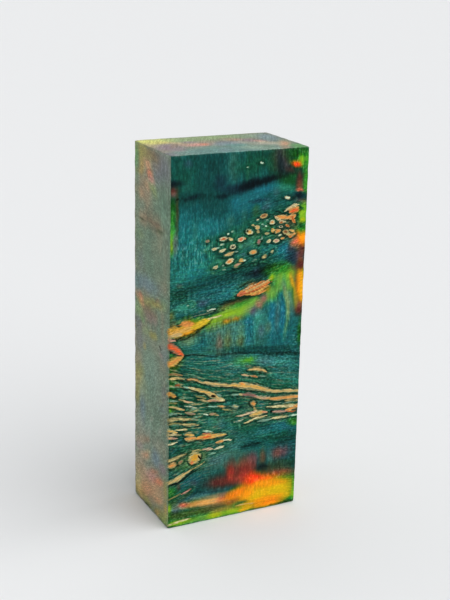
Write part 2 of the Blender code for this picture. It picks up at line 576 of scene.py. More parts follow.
    ("olive", 26.6, 66.6, 1.4, 3.6, 0.6),
    ("mint teal", 34, 68.6, 2, 2.6, 0.5),
    ("violet", 34.6, 68, 1.2, 2.2, 0.4),
    ("pale teal", 25.8, 68.6, 2.4, 2.4, 0.6),
    ("tan", 37.4, 68.6, 1, 1.8, 0.4),
    ("grey green", 37.4, 68.6, 1.2, 2.2, 0.5),
    ("grey blue", 46.4, 73, 0.9, 3, 0.6),
    ("sea", 47, 67, 1.8, 4, 0.5),
    ("reed", 43.5, 80.4, 0.9, 3.8, 1, 18),
    ("reed", 44.8, 75.2, 0.8, 4.6, 1, 4),
    ("reed", 44.4, 68.4, 0.7, 4.4, 0.6, -8),
    ("ochre", 47.4, 79.6, 0.7, 3, 0.9, 6),
    ("reed", 46.4, 77.6, 0.8, 3.4, 0.6, 6),
    ("brass", 47.9, 76.6, 0.7, 2.4, 0.8, 4),
    ("dark green", 50, 65, 0.8, 4.5, 0.8),
    ("deep teal", 35, 61, 13, 1.2, 0.85, -7),
    # The left edge, middle
    ("green", 0.2, 63.4, 1.6, 0.8, 1),
    ("dark green", 0.2, 58.6, 1.8, 1, 1),
    ("green", 0.2, 53.4, 1.6, 2.2, 1),
    ("leaf", 0.4, 47.4, 0.9, 1, 0.7),
    ("lime", 0, 44.6, 0.9, 1, 0.8),
    # The layers over the long streaks
    ("fern", 28, 57.6, 4.6, 1.8, 0.9, -8),
    ("leaf", 29.6, 57.6, 2.6, 1, 0.6, -8),
    ("lime", 30.4, 58, 2, 0.7, 0.4),
    ("blue teal", 16, 60.2, 6, 1, 0.6, -6),
    ("grey blue", 17, 56.4, 6, 1.6, 0.75, -14),
    ("lagoon", 15, 57.4, 9, 2.4, 0.5, -8),
    ("grey green", 23.8, 55.6, 1.6, 0.8, 0.6),
    ("olive", 33.2, 53.4, 3, 1.2, 0.5, -10),
    ("grey blue", 36.2, 56.4, 3.4, 1.4, 0.8, -8),
    ("pale teal", 43, 55.4, 6, 1.6, 0.6, -12),
    ("pale teal", 39.6, 50.6, 3.4, 1.2, 0.7, -14),
    ("pale teal", 46.6, 48, 5, 2.2, 0.9, -10),
    # The ground between the streaks, and the dyes at its edges
    ("bottle", 7, 45, 13, 13, 0.9),
    ("bottle", 36, 44, 18, 6.4, 0.9, -10),
    ("grey green", 2.6, 37.6, 3.4, 4, 0.5),
    ("green", 0.6, 56.8, 2.2, 1.8, 0.8),
    ("green", 1.2, 53.8, 2.6, 1.8, 1),
    ("orange", 1.2, 60.4, 3, 2, 0.9, 20),
    ("lime", 0.6, 45.4, 1.6, 0.7, 0.5, -10),
    ("green", 1, 46, 2.2, 2.6, 0.7),
    ("lime", 0.2, 44, 1.4, 1.6, 0.7),
    ("bottle", 40, 35.6, 10, 1.4, 0.6),
    ("deep teal", 21, 45.2, 2.2, 2.6, 0.7),
    ("sea", 22.6, 42.6, 1.8, 1.4, 0.7),
    ("grey blue", 19.4, 37, 1.4, 3, 0.65, 12),
    ("pale teal", 15.6, 37.6, 1.6, 2.2, 0.4, -30),
    ("sage", 13.8, 36, 3, 2.6, 0.5, -30),
    ("reed", 18, 38, 2.4, 2, 0.35),
    ("reed", 25.6, 37, 3.4, 2, 0.45),
    ("sage", 28.6, 41.4, 3.2, 2, 0.6),
    ("grey blue", 30, 39.4, 2.6, 0.9, 0.5),
    ("sea", 35.6, 40.6, 1.4, 1.4, 0.9),
    ("deep blue", 4, 31.6, 1.2, 1.4, 0.5),
    ("grey blue", 11.6, 34, 1.4, 0.9, 0.6),
    ("sage", 26, 31, 3.6, 4.4, 0.5),
    ("bottle", 30.6, 32.8, 5, 2.4, 0.7),
    ("brown", 31.4, 40.2, 2.2, 1.8, 0.5),
    ("deep teal", 37.6, 32.2, 2.4, 1.6, 0.7),
    ("blue teal", 43.6, 31.2, 3.6, 1.6, 0.85),
    ("pale teal", 36.4, 28.6, 3, 1.8, 0.6),
    ("pale teal", 25.8, 26.2, 1.8, 1, 0.5),
    ("ink", 45.6, 25.4, 4.4, 1.8, 0.45),
    ("green", 49.6, 32.4, 2.6, 1.4, 1, 6),
    ("leaf", 49.8, 31.2, 1.4, 0.7, 0.6),
    ("bottle", 42, 26.6, 8, 2.2, 0.7, -4),
    ("deep teal", 33, 25.8, 5, 1.5, 0.75, 4),
    ("plum", 1.6, 29.6, 1.2, 0.7, 0.7),
    ("reed", 12.6, 25.4, 2.6, 1.8, 0.8),
    ("brown", 3, 23.6, 3.4, 1.6, 0.8),
    ("bottle", 8, 29.4, 6, 1.6, 0.7),
    ("bottle", 5, 22, 3, 1.6, 0.5),
    ("leaf", 7, 21.8, 2.4, 0.7, 0.45, 18),
    # The red and yellow pool at the foot, and the ground over it
    ("grey blue", 18, 23, 4.4, 2.2, 0.55, -10),
    ("pale teal", 21.4, 22, 1.4, 1, 0.4),
    ("sea", 8, 16.6, 4.6, 2.2, 0.6, 10),
    ("olive", 9.4, 24.8, 4.4, 3.6, 0.8),
    ("khaki", 2.6, 23.8, 3.6, 2, 0.8, 10),
    ("plum", 9.6, 15, 1.8, 1.6, 0.6),
    ("maroon", 3.8, 14.8, 0.7, 1.4, 0.75),
    ("deep teal", 10, 12, 4, 1.8, 0.7),
    ("rust", 37, 19.8, 1.3, 3.4, 0.75),
    ("plum", 44, 20.6, 4.4, 2.6, 0.9),
    ("rust", 42.6, 20.2, 1.6, 2.4, 0.4),
    ("ink", 37, 16, 2.4, 1.4, 0.75),
    ("grey green", 39.8, 18.6, 0.9, 4, 0.55),
    ("maroon", 20.6, 13.6, 6.6, 2.6, 1, -2),
    ("crimson", 24, 16.6, 2.2, 4, 0.95),
    ("red", 24.2, 15.8, 1.2, 2.4, 0.6),
    ("umber", 27.4, 18.2, 1, 2.6, 0.6),
    ("maroon", 30.8, 18, 3.8, 3.5, 0.95),
    ("plum", 33, 18.8, 1.8, 2.4, 0.5),
    ("plum", 32.6, 20.4, 1.8, 2.2, 0.6),
    ("clay", 29, 19.4, 3.4, 1.8, 0.45),
    ("crimson", 29.6, 15, 4.2, 3.2, 1),
    ("red", 29.6, 12.6, 3.4, 2.2, 0.8),
    ("rust", 44, 12.8, 7, 1.8, 1, -6),
    ("umber", 43, 15.6, 6, 1.8, 0.6),
    ("umber", 16, 4.1, 9, 1.2, 0.8, 2),
    ("brown", 20, 5, 6, 1, 0.8, 4),
    ("grey blue", 12, 10.2, 10, 0.9, 0.7, 2),
    ("clay", 18, 8.8, 8, 0.8, 0.8),
    ("brass", 9.4, 7.3, 4.4, 1.2, 0.9),
    ("apricot", 17, 6.7, 9, 1.5, 1),
    ("peach", 15.6, 6.9, 6, 1, 1),
    ("coral", 22.6, 7.2, 3.4, 1.2, 0.6, 10),
    ("coral", 5.2, 7.5, 2.4, 1.4, 1),
    ("rose", 22.4, 8.4, 3, 1.2, 0.5),
    ("brass", 25, 4.4, 3, 1.8, 0.9),
    ("hot orange", 34.4, 11.8, 3.4, 2.6, 1, -4),
    ("orange", 28, 8.2, 5.4, 2.2, 1, 22),
    ("hot orange", 38.4, 11.2, 5, 1.6, 1, -5),
    ("scarlet", 33.2, 12, 2.9, 2.4, 0.85, -4),
    ("amber", 31.6, 6.4, 6, 2.4, 1, 10),
    ("ochre", 29.4, 4, 4, 1.7, 0.9),
    ("amber", 39.6, 5.8, 10, 4.6, 1),
    ("sulphur", 35.6, 6.4, 2.2, 3.6, 0.7, -12),
    ("sulphur", 43.8, 5.8, 7, 4.2, 1),
    ("sulphur", 34, 4.2, 2.4, 1.8, 0.8),
    ("amber", 38.4, 9.3, 6, 1.3, 0.9, -4),
    ("amber", 45.6, 9, 3.4, 1.2, 0.5, -6),
    ("rust", 25, 5, 2.6, 1, 0.6, 6),
    ("orange", 26.2, 8, 3, 1.6, 0.6, 10),
    ("brass", 1, 7.6, 1.8, 1.6, 0.5),
    ("amber", 40, 3.2, 6.6, 1, 0.9),
    ("orange", 39.8, 1.4, 5.4, 1.2, 1, 2),
    ("green", 50, 0.6, 1.8, 1.4, 1),
    ("leaf", 50.1, 5.5, 0.4, 4, 0.7),
    # The left edge of the foot, and the strip along the bottom
    ("green", 0.6, 13.4, 2.2, 2.2, 1),
    ("grey blue", 2.6, 8.8, 1.3, 1, 0.9),
    ("grey green", 3, 5.6, 2.6, 1.8, 0.8),
    ("violet", 2.6, 6.2, 1.4, 1.2, 0.4),
    ("lime", 0.1, 7.4, 0.9, 1.8, 1),
    ("green", 0.3, 3.9, 1.4, 1.4, 0.9),
    ("forest", 7, 3.6, 9, 1.6, 1),
    ("forest", 1.4, 9.8, 2, 1.6, 0.6),
    ("brown", 6.4, 12.2, 3, 1, 0.7, 20),
    ("olive", 6.2, 11.2, 2.6, 1, 0.6, 16),
    ("olive", 20, 3, 5, 0.9, 0.8),
    ("grass", 14, 0.9, 12, 1.5, 0.9, 1),
    ("lime", 4, 1.3, 5.4, 1.3, 1, 4),
    ("lime", 18, 1.1, 2.8, 1.2, 1),
    ("lime", 25.4, 1.2, 4, 1.4, 1),
    ("gold", 31.4, 1.2, 3, 1.2, 0.9),
    ("brass", 35, 1.2, 1.6, 1.2, 0.8),
    ("amber", 39.6, 0.8, 5, 0.8, 0.8),
    ("olive", 6.4, 2.6, 3.4, 0.8, 0.5, 3),
    ("brass", 20.4, 2.6, 3.6, 0.8, 0.7, 4),
    ("brass", 25.4, 2.4, 2.6, 0.8, 0.5),
    ("olive", 28.6, 3.8, 2.4, 0.7, 0.7),
    ("gold", 31, 2.5, 3.2, 0.8, 0.7),
    ("amber", 35.6, 2.2, 1.8, 1.2, 0.8),
    ("sulphur", 47.2, 2.9, 1.8, 1, 0.6),
    ("lime", 50.2, 2.8, 1, 1.4, 0.8),
    ("gold", 29.4, 0.6, 1.8, 0.7, 0.9),
    ("gold", 18.8, 1, 2.8, 0.8, 0.35),
)
LEFT_POOLS = (
    ("sage", 30, 62, 2.8, 66, 0.6),
    ("teal", 15, 42, 13, 20, 0.45),
    ("sage", 11, 101, 9, 5, 0.6),
    # The upper end
    ("violet", 23, 124.4, 8, 5, 0.9),
    ("brown", 17, 126.4, 4, 2.4, 0.35, -10),
    ("olive", 3.4, 128, 6, 3, 1, -4),
    ("leaf", 0.4, 125, 1.8, 5, 0.7),
    ("gold", 5.2, 123.4, 2.6, 2.4, 0.7, 20),
    ("gold", 2.6, 120.8, 2.6, 1, 0.6),
    ("peach", 10.4, 124.6, 3.4, 1.9, 1),
    ("coral", 12.2, 121.8, 2.6, 1.6, 1),
    ("pink", 14, 119.8, 2.6, 1.6, 0.9, -20),
    ("green", 15.4, 117, 3.4, 1.7, 0.8, -20),
    ("olive", 16.4, 116, 3, 1, 0.5, -30),
    ("tan", 5, 114, 6.4, 3.6, 0.85, -8),
    ("peach", 3, 114.4, 3.4, 1.3, 0.5, -6),
    ("peach", 9.4, 117.6, 3.4, 1.4, 0.5, -20),
    ("mint", 6, 110.4, 2.4, 1.6, 0.4),
    ("sage", 24.6, 112, 4.2, 9, 1),
    ("brown", 14.4, 106.6, 7, 3.6, 0.45, -4),
    ("brown", 14.6, 106, 8, 0.8, 0.5, -3),
    ("tan", 4.6, 105.4, 5, 2, 0.7),
    ("dark", 5.4, 105.2, 1.6, 0.4, 0.6, 8),
    ("dark", 21, 104.2, 2.6, 0.4, 0.5, 4),
    ("green", 2.4, 99.6, 4, 1.6, 0.5),
    ("sage", 12, 101.4, 6, 1.2, 0.5),
    # The middle
    ("tan", 2, 95.4, 3.4, 2, 0.5),
    ("violet", 4.4, 90.6, 2.6, 2.6, 0.7),
    ("sage", 15, 91.6, 12, 6, 0.7, 2),
    ("blue", 9, 83.6, 12, 2.6, 0.8, 2),
    ("sage", 25, 81, 4, 3, 0.9, 4),
    ("green", 25.4, 79.8, 2.6, 1.6, 0.3),
    ("olive", 13, 77.6, 10, 1.7, 0.7, 10),
    ("gold", 18.4, 78.6, 3.6, 0.9, 0.5, 6),
    ("brown", 19.6, 80.2, 2, 0.7, 0.6, 4),
    ("brown", 12, 73.6, 6.4, 2.4, 0.55),
    ("mauve", 14, 72.4, 5, 1.6, 0.4),
    ("coral", 2.6, 77.8, 3.4, 2, 1, -12),
    ("peach", 4.4, 76.2, 3, 1.2, 0.8, -14),
    ("gold", 3.4, 75.6, 1.8, 0.8, 0.6),
    ("green", 2.4, 72.2, 4.4, 2.2, 0.9, -8),
    ("leaf", 6, 69.6, 1.6, 0.9, 0.4),
    ("violet", 2, 67.4, 3, 2.4, 0.7),
    ("green", 9.4, 66.8, 3.4, 1.5, 0.5, 10),
    ("olive", 15.6, 66.8, 3.4, 1.2, 0.85, 8),
    ("violet", 3.4, 61.4, 4, 3, 0.6),
    ("gold", 8, 60.6, 1.3, 1.1, 0.8),
    ("pink", 22.8, 62, 1.6, 0.8, 0.6),
    ("sage", 12, 57, 6, 4, 0.6, 20),
    # The lower half, where the layers rise towards the show face
    ("tan", 2, 54, 4, 2.6, 0.8, 14),
    ("gold", 2.4, 48.4, 4.2, 3.6, 0.7, 16),
    ("olive", 3.6, 50.4, 4, 2, 0.7, 16),
    ("olive", 1, 41, 2.4, 4, 0.6),
    ("sage", 12, 46, 6.4, 4, 0.8, 20),
    ("sage", 24, 50, 4, 4, 0.6, 20),
    ("mauve", 25.4, 49.6, 2, 3, 0.4),
    ("blue", 6, 37, 2.4, 5.4, 0.8),
    ("blue", 23.6, 42.6, 3, 1.6, 0.5, 20),
    ("sage", 18, 38, 7, 6, 0.7, 26),
    ("mint", 12, 33, 3, 3, 0.6, 30),
    ("mint", 21.4, 34.6, 3.4, 1, 0.5, 40),
    ("tan", 5.4, 24.6, 6.6, 1.4, 0.9, 22),
    ("brown", 10.4, 26.4, 2.4, 0.8, 0.6, 24),
    ("mauve", 3, 21.4, 3.4, 1.4, 0.6, 16),
    ("cream", 11.4, 22.2, 4, 0.7, 0.6, 24),
    ("peach", 8, 19.4, 5, 1.6, 1, 22),
    ("coral", 9, 19.8, 2.8, 0.8, 0.5, 24),
    ("tan", 4, 14.6, 5, 4, 0.8, 16),
    ("peach", 5, 11.4, 7, 3, 0.7, 12),
    ("blue", 18.6, 22.4, 4.4, 3, 0.9, 10),
    ("mauve", 24.8, 21, 3, 1.8, 0.7, 10),
    ("pink", 15, 13.6, 6, 2.8, 0.9, 18),
    ("coral", 21.4, 14.6, 4.4, 1.4, 1, 22),
    ("coral", 17, 16.8, 3.4, 0.8, 0.5, 20),
    ("olive", 27.6, 14, 2, 3.4, 0.8),
    ("peach", 19, 10.4, 7, 2.4, 0.8, 20),
    ("peach", 10, 7.8, 7.4, 3.2, 1, 16),
    ("peach", 20.6, 7.4, 5.4, 1.7, 1, 20),
    ("mauve", 24, 5, 3, 1.2, 0.5, 20),
    ("gold", 28, 7, 2, 2.2, 0.9),
    ("gold", 3.4, 4.2, 5, 2.4, 1, 10),
    ("olive", 10.6, 2.6, 4.4, 1.6, 0.8),
    ("dark", 10, 0.8, 3.6, 0.8, 0.6, 10),
    ("tan", 15.6, 4.6, 3, 1.4, 0.6, 16),
    ("gold", 20.4, 2.6, 3, 1.5, 0.9, 16),
    ("leaf", 27, 2.4, 3.6, 1.8, 0.9, 10),
    ("yellow", 28, 4.4, 1.8, 1, 0.4),
    # Pale veils of painted sheen and small marks over all of it
    ("cream", 2, 8, 3, 5, 0.4),
    ("chalk", 4, 20, 9, 8, 0.4, 20),
    ("mint", 11, 52, 9, 9, 0.45),
    ("blue", 1.4, 82, 3.4, 3, 0.8),
    ("olive", 8.6, 128.4, 7, 1.6, 0.8, -6),
    ("sage", 18, 112.6, 4.4, 4, 0.7),
    ("olive", 25.6, 3.2, 4, 2.6, 0.8),
    ("coral", 10, 7, 4.4, 1.8, 0.4, 16),
    ("cream", 5, 45, 5, 4, 0.3),
    ("chalk", 3, 31, 4, 4, 0.4),
    ("mint", 14, 56, 5, 4, 0.4),
    ("sage", 1.2, 100, 2, 26, 0.45),
    ("brown", 14, 128.6, 6, 2, 0.5),
    ("peach", 9, 6.8, 6, 2.2, 0.7, 16),
    ("cream", 2.2, 6.6, 2.6, 2.6, 0.6),
    ("blue", 26, 63, 4, 3, 0.5),
    ("sage", 30, 66, 1.8, 62, 0.6),
    ("chalk", 14.6, 35.8, 1.8, 0.6, 0.6, 36),
    ("chalk", 22.4, 34.6, 2, 0.7, 0.6, 40),
    ("chalk", 12.2, 30.6, 0.9, 2, 0.4, -10),
    ("chalk", 19.6, 28.8, 2, 0.5, 0.5, 50),
    # A dark strip along the foot is painted shade, where the block stands on the floor.
    ("dark", 15, 0, 24, 0.45, 0.8),
)
TOP_POOLS = (
    ("teal", 24, 3, 28, 9, 0.95),
    ("sea", 20, 5, 12, 5.4, 0.6),
    ("sea", 29, 12.4, 7, 3, 0.5, -20),
    ("violet", 1.4, 4, 3, 4.4, 0.8),
    ("blue", 22.4, 5, 2, 4, 0.5, -26),
    ("yellow", 5.4, 28, 8.4, 4.6, 1),
    ("yellow", 11, 28.6, 4, 2.6, 0.9),
    ("leaf", 0.2, 29.4, 1.4, 3, 0.5),
    ("gold", 9.2, 24.4, 2.8, 1.9, 1, -40),
    ("yellow", 4.6, 24.4, 7, 3, 0.6),
    ("green", 27, 28.4, 15, 4.6, 0.95),
    ("green", 18, 26.4, 4, 2.4, 0.7),
    ("mint", 44, 28, 5, 3.4, 0.6),
    ("cream", 12.8, 21.4, 3.4, 2.2, 1, -44),
    ("tan", 2.4, 20, 4, 5, 0.9, -30),
    ("yellow", 2, 19.4, 4, 4, 0.35, -20),
    ("mauve", 6.6, 15, 4, 7, 1, -26),
    ("tan", 1.6, 7, 2.4, 5, 0.5, -26),
    ("brown", 9.8, 17.4, 1.2, 4, 0.5, -30),
    ("mauve", 9.4, 10.6, 1.6, 4, 0.6, -26),
    ("pink", 18, 17.2, 5.4, 3, 1),
    ("pink", 17.4, 17.4, 3.6, 1.8, 0.8, -10),
    ("coral", 20.4, 16.8, 1.4, 2, 0.7, -20),
    ("mauve", 17, 22.2, 2.2, 1.6, 0.8),
    ("tan", 22.4, 21.4, 3, 2.4, 0.5),
    ("violet", 26.4, 17, 1.6, 4, 0.8, -26),
    ("violet", 30.6, 17.4, 3.4, 2.8, 0.8),
    ("blue", 28.6, 15.4, 4.6, 3, 0.7),
    ("tan", 33.4, 22.8, 4, 2.6, 0.8, -20),
    ("pink", 34.8, 21.4, 2, 1.6, 0.5),
    ("mauve", 38, 19.4, 2.4, 3.4, 0.8, -26),
    ("pink", 41.8, 16.6, 2.6, 2.4, 1, -20),
    ("cream", 41, 13.2, 1.6, 2.2, 0.85, -30),
    ("grey", 36, 11, 2.6, 3, 0.6, -26),
    ("mint", 33.6, 6.4, 4, 3.4, 1, -20),
    ("mint", 38, 2.6, 3.2, 2, 0.8),
    ("sage", 39.6, 7.4, 2, 4.4, 0.8, -26),
    ("blue", 47, 22, 3.4, 8, 0.95, -20),
    ("mint", 46, 20, 1, 5, 0.4, -26),
    ("peach", 46.2, 8.6, 1.9, 5.4, 1, -26),
    ("coral", 46.6, 9.6, 1, 2, 0.5, -26),
    ("tan", 43.6, 2.6, 1.6, 3.2, 0.8, -26),
    ("cream", 43, 11.8, 3, 2, 0.45, -20),
    ("chalk", 41.2, 11.4, 5, 3, 0.8, -20),
    ("chalk", 34, 16, 3, 2.4, 0.5),
    ("violet", 2, 4, 2.4, 2.4, 0.6),
    ("sea", 30, 12, 3.4, 2.4, 0.5),
    ("yellow", 6, 24.8, 3.6, 2.2, 0.6),
    ("tan", 14, 19.8, 2.8, 2.2, 0.6),
    ("leaf", 48.8, 3.2, 2.4, 4.2, 1, -20),
)
RIGHT_POOLS = (
    ("leaf", 4, 126, 6, 5, 1, 10),
    ("yellow", 2, 125, 3, 1.8, 0.7),
    ("mauve", 14, 124, 5, 4, 0.8, 10),
    ("sage", 24, 122, 5, 6, 0.8),
    ("coral", 3, 117, 3, 1.6, 0.8, 12),
    ("teal", 20, 112, 8, 4, 0.7, 14),
    ("green", 5, 108.6, 6, 3, 1, 16),
    ("yellow", 3, 107, 3.4, 1.8, 0.8, 14),
    ("peach", 5, 101, 6, 2.4, 1, 16),
    ("coral", 10, 102, 3.4, 1.4, 0.8, 16),
    ("mauve", 16, 104, 4.6, 1.8, 0.8, 16),
    ("violet", 6, 94, 6, 2.4, 0.8, 14),
    ("blue", 20, 97, 6, 3, 0.8, 14),
    ("gold", 2, 83.6, 4, 6.4, 1),
    ("peach", 6, 85, 3.4, 3.4, 0.9, 20),
    ("coral", 10.4, 87, 2.8, 2.4, 0.8, 20),
    ("tan", 17, 86, 5, 3, 0.8, 10),
    ("brown", 1.6, 74, 2.6, 3, 0.7),
    ("teal", 14, 72, 8, 6, 0.7),
    ("green", 24, 66, 5, 2.4, 0.8, 12),
    ("blue", 8, 60, 6, 3, 0.7, 10),
    ("mint", 20, 52, 8, 5, 0.7, 10),
    ("olive", 27, 44, 3.4, 6, 0.7),
    ("leaf", 2, 33.4, 4, 1.6, 0.9, 10),
    ("mint", 14, 36, 6, 4, 0.6, 10),
    ("mauve", 6, 21, 5.4, 3, 0.8, 8),
    ("coral", 5, 13.4, 6, 2.4, 0.9, 10),
    ("pink", 14, 14, 4.4, 2.4, 0.9, 10),
    ("peach", 9, 8.4, 8, 3.4, 1, 8),
    ("gold", 3.4, 5.4, 4.4, 3.4, 1),
    ("yellow", 3, 4, 2.6, 2, 0.7),
    ("green", 17, 3.4, 5.4, 2.6, 0.95, 6),
    ("leaf", 23, 2.6, 5, 2.4, 0.9),
    ("brown", 22, 13, 4, 3.4, 0.6),
    # A dark strip along the foot is painted shade, where the block stands on the floor.
    ("dark", 15, 0, 24, 0.45, 0.8),
)
BACK_POOLS = (
    ("leaf", 4, 127, 6, 3.6, 0.7, -10),
    ("grey blue", 10, 118, 8, 6, 0.5),
    ("lime", 43, 126.6, 8, 3.4, 0.9, 6),
    ("orange", 38.6, 123.2, 3.4, 1.4, 0.95, 14),
    ("coral", 36.4, 120.6, 2.4, 1.2, 0.9, 14),
    ("ink", 14, 121.4, 9, 1.5, 0.8, -6),
    ("bright blue", 27, 113.4, 6, 3.4, 0.7, 10),
    ("blue teal", 14, 103, 9, 6, 0.6),
    ("jade", 26, 92, 34, 12, 0.8),
    ("leaf", 46, 99.6, 4.4, 2.4, 0.8),
    ("ink", 24, 95.4, 9, 1.4, 0.7, -8),
    ("leaf", 19, 85, 9, 2.4, 1, 12),
    ("lime", 14, 83.8, 7, 2, 0.95, 12),
    ("scarlet", 42.6, 78.2, 4, 1.8, 0.9, -16),
    ("amber", 46.6, 76.6, 5, 2.4, 1, -16),
    ("jade", 26, 62, 34, 12, 0.8),
    ("moss", 22, 68, 8, 7, 0.7),
    ("bright blue", 31, 72, 2.4, 6, 0.7),
    ("deep blue", 9, 70, 2, 6, 0.5),
    ("coral", 6.4, 63.4, 3.4, 1.6, 0.9, -10),
    ("amber", 2.4, 63.8, 4.6, 2.2, 1, -10),
    ("leaf", 40, 56.6, 5, 1.8, 0.8, 8),
    ("sea", 25, 50, 8, 3, 0.6),
    ("olive", 48, 50, 3, 7, 0.7),
    ("green", 1, 37, 2.4, 2, 0.9),
    ("moss", 30, 26, 20, 6, 0.7),
    ("plum", 12, 21, 6, 3.4, 0.9, 6),
    ("crimson", 20, 17, 6, 3.4, 1),
    ("rust", 31, 9, 7, 3, 0.9, -6),
    ("maroon", 34, 15.4, 5, 2.4, 0.9),
    ("scarlet", 15, 12.6, 4.4, 3, 1),
    ("orange", 9, 10.8, 6, 3, 1),
    ("amber", 20, 6.4, 9, 3, 1),
    ("yellow", 5, 6, 7.4, 4, 1),
    ("coral", 43, 19, 5, 2.4, 0.85, 12),
    ("rust", 42, 13, 6, 2.4, 0.8, 10),
    ("green", 36, 1.8, 6, 2, 0.9),
    ("leaf", 28, 1.8, 6, 1.6, 0.9),
    ("amber", 45, 5.6, 6.4, 2.8, 0.95, 10),
)
BASE_POOLS = (
    ("green", 6, 4, 6, 4, 0.9),
    ("leaf", 14, 3, 5, 4, 0.8),
    ("yellow", 22, 3, 5, 3, 0.8),
    ("gold", 40, 5, 9, 6, 1, 10),
    ("yellow", 44, 12, 6, 5, 0.9, 10),
    ("coral", 34, 13, 4, 4, 0.9),
    ("mauve", 24, 14, 6, 5, 0.8, 10),
    ("blue", 12, 16, 7, 5, 0.6),
    ("peach", 6, 25, 6, 4, 0.9),
    ("green", 20, 26, 7, 3, 0.7),
    ("gold", 34, 26, 7, 3, 0.9),
    ("tan", 43, 22, 5, 3, 0.7),
)
POOLS = {
    "show": SHOW_POOLS,
    "left": LEFT_POOLS,
    "top": TOP_POOLS,
    "right": RIGHT_POOLS,
    "back": BACK_POOLS,
    "base": BASE_POOLS,
}


def steeped(code):
    """A dye as its depth in each light, so that one dye over another mixes as two glazes do."""
    seen = Color([int(code[i : i + 2], 16) / 255 for i in (0, 2, 4)])
    return np.log(np.maximum(seen.from_srgb_to_scene_linear(), DEEPEST))


depth_of = {name: steeped(code) for name, code in DYES.items()}
sheen_painted_depth = {name: steeped(code) for name, code in SHEEN_PAINTED_DYES.items()}

# The dyes and the grain stray from their paths in lumps, which have these lengths across, into
# and up the block.
LUMP_LENGTHS = {
    "upward": (0.9, 1.4, 5.0),
    "fine": (0.5, 0.8, 1.4),
    "sideways": (2.2, 2.2, 2.2),
    "cloud": (6.0, 8.0, 9.0),
    "small_cloud": (1.6, 3.0, 4.5),
    "swelling": (2.6, 2.6, 1.2),
}
lumps = {}
for seed, (name, lengths) in enumerate(LUMP_LENGTHS.items(), start=2):
    lumps[name] = wander(spots, lengths, seed)


def lumped(**amounts):
    """The lumps of these names, each by its amount, added up."""
    return sum(amount * lumps[name] for name, amount in amounts.items())


face_names = list(faces)
nearest = np.argmin([faces[name][2] for name in face_names], axis=0)
belongs = {name: nearest == number for number, name in enumerate(face_names)}
narrow = np.any([belongs[name] for name in NARROW_FACES], axis=0)
# The narrow faces start from a grey with painted sheen, the broad ones from teal.
dye = np.where(narrow[:, None], sheen_painted_depth["grey"], depth_of["teal"])


def cloud_over(where, colour, everywhere, most, **clouds):
    """Mixes a second colour into the ground there, more of it where the clouds are."""
    share = np.clip(everywhere + lumped(**clouds), 0, most) * where
    dye[:] += share[:, None] * (colour - dye)


cloud_over(~narrow, depth_of["sea"], everywhere=0.35, most=1, cloud=0.5, small_cloud=0.3)
cloud_over(~narrow, depth_of["deep teal"], everywhere=0.25, most=0.8, cloud=-0.4, small_cloud=-0.7)
# On the narrow faces the painted sheen is clouded with paler tan and sage.
cloud_over(narrow, sheen_painted_depth["tan"], everywhere=0.15, most=0.7, cloud=0.6, small_cloud=-0.4)
cloud_over(narrow, sheen_painted_depth["sage"], everywhere=0.1, most=0.7, cloud=-0.6, small_cloud=0.5)

# A pool's rim fades softly and is ragged. The foot drank the most dye, so the pools there have
# the smoothest rims, and they are fully rough from a little further up.
POOL_SOFT = 0.80
POOL_RAGGED = 0.26
ROUGH_HEIGHTS = (9, 20)
ROUGHNESS = (0.22, 0.62)
rough = np.interp(spots[:, 2], ROUGH_HEIGHTS, ROUGHNESS)
pool_stray = rough * lumped(sideways=0.35, fine=0.2)
pool_rise = rough * lumped(upward=0.7, sideways=0.25)
pool_rim = POOL_RAGGED * rough * lumped(fine=0.6, small_cloud=0.8)


def eased(share):
    """A share from 0 to 1 that starts and ends gently."""
    return share * share * (3 - 2 * share)


def soak(face, name, place_along, place_up, half_wide, half_high, strength, slope=0):
    """Lays one pool of dye over what is there, ragged along the fibres at its rim."""
    along, up, _ = faces[face]
    place, size = (place_along, place_up), (2 * half_wide, 2 * half_high)
    ratio, _ = from_oval(along + pool_stray, up + pool_rise, place, size, slope)
    held = eased(np.clip((1 + POOL_SOFT - ratio - pool_rim) / (2 * POOL_SOFT), 0, 1))
    # The narrow faces take their dyes with painted sheen.
    bath = sheen_painted_depth if face in NARROW_FACES else depth_of
    dye[:] += (held * strength * belongs[face])[:, None] * (bath[name] - dye)


for face, pools in POOLS.items():
    for pool in pools:
        soak(face, *pool)

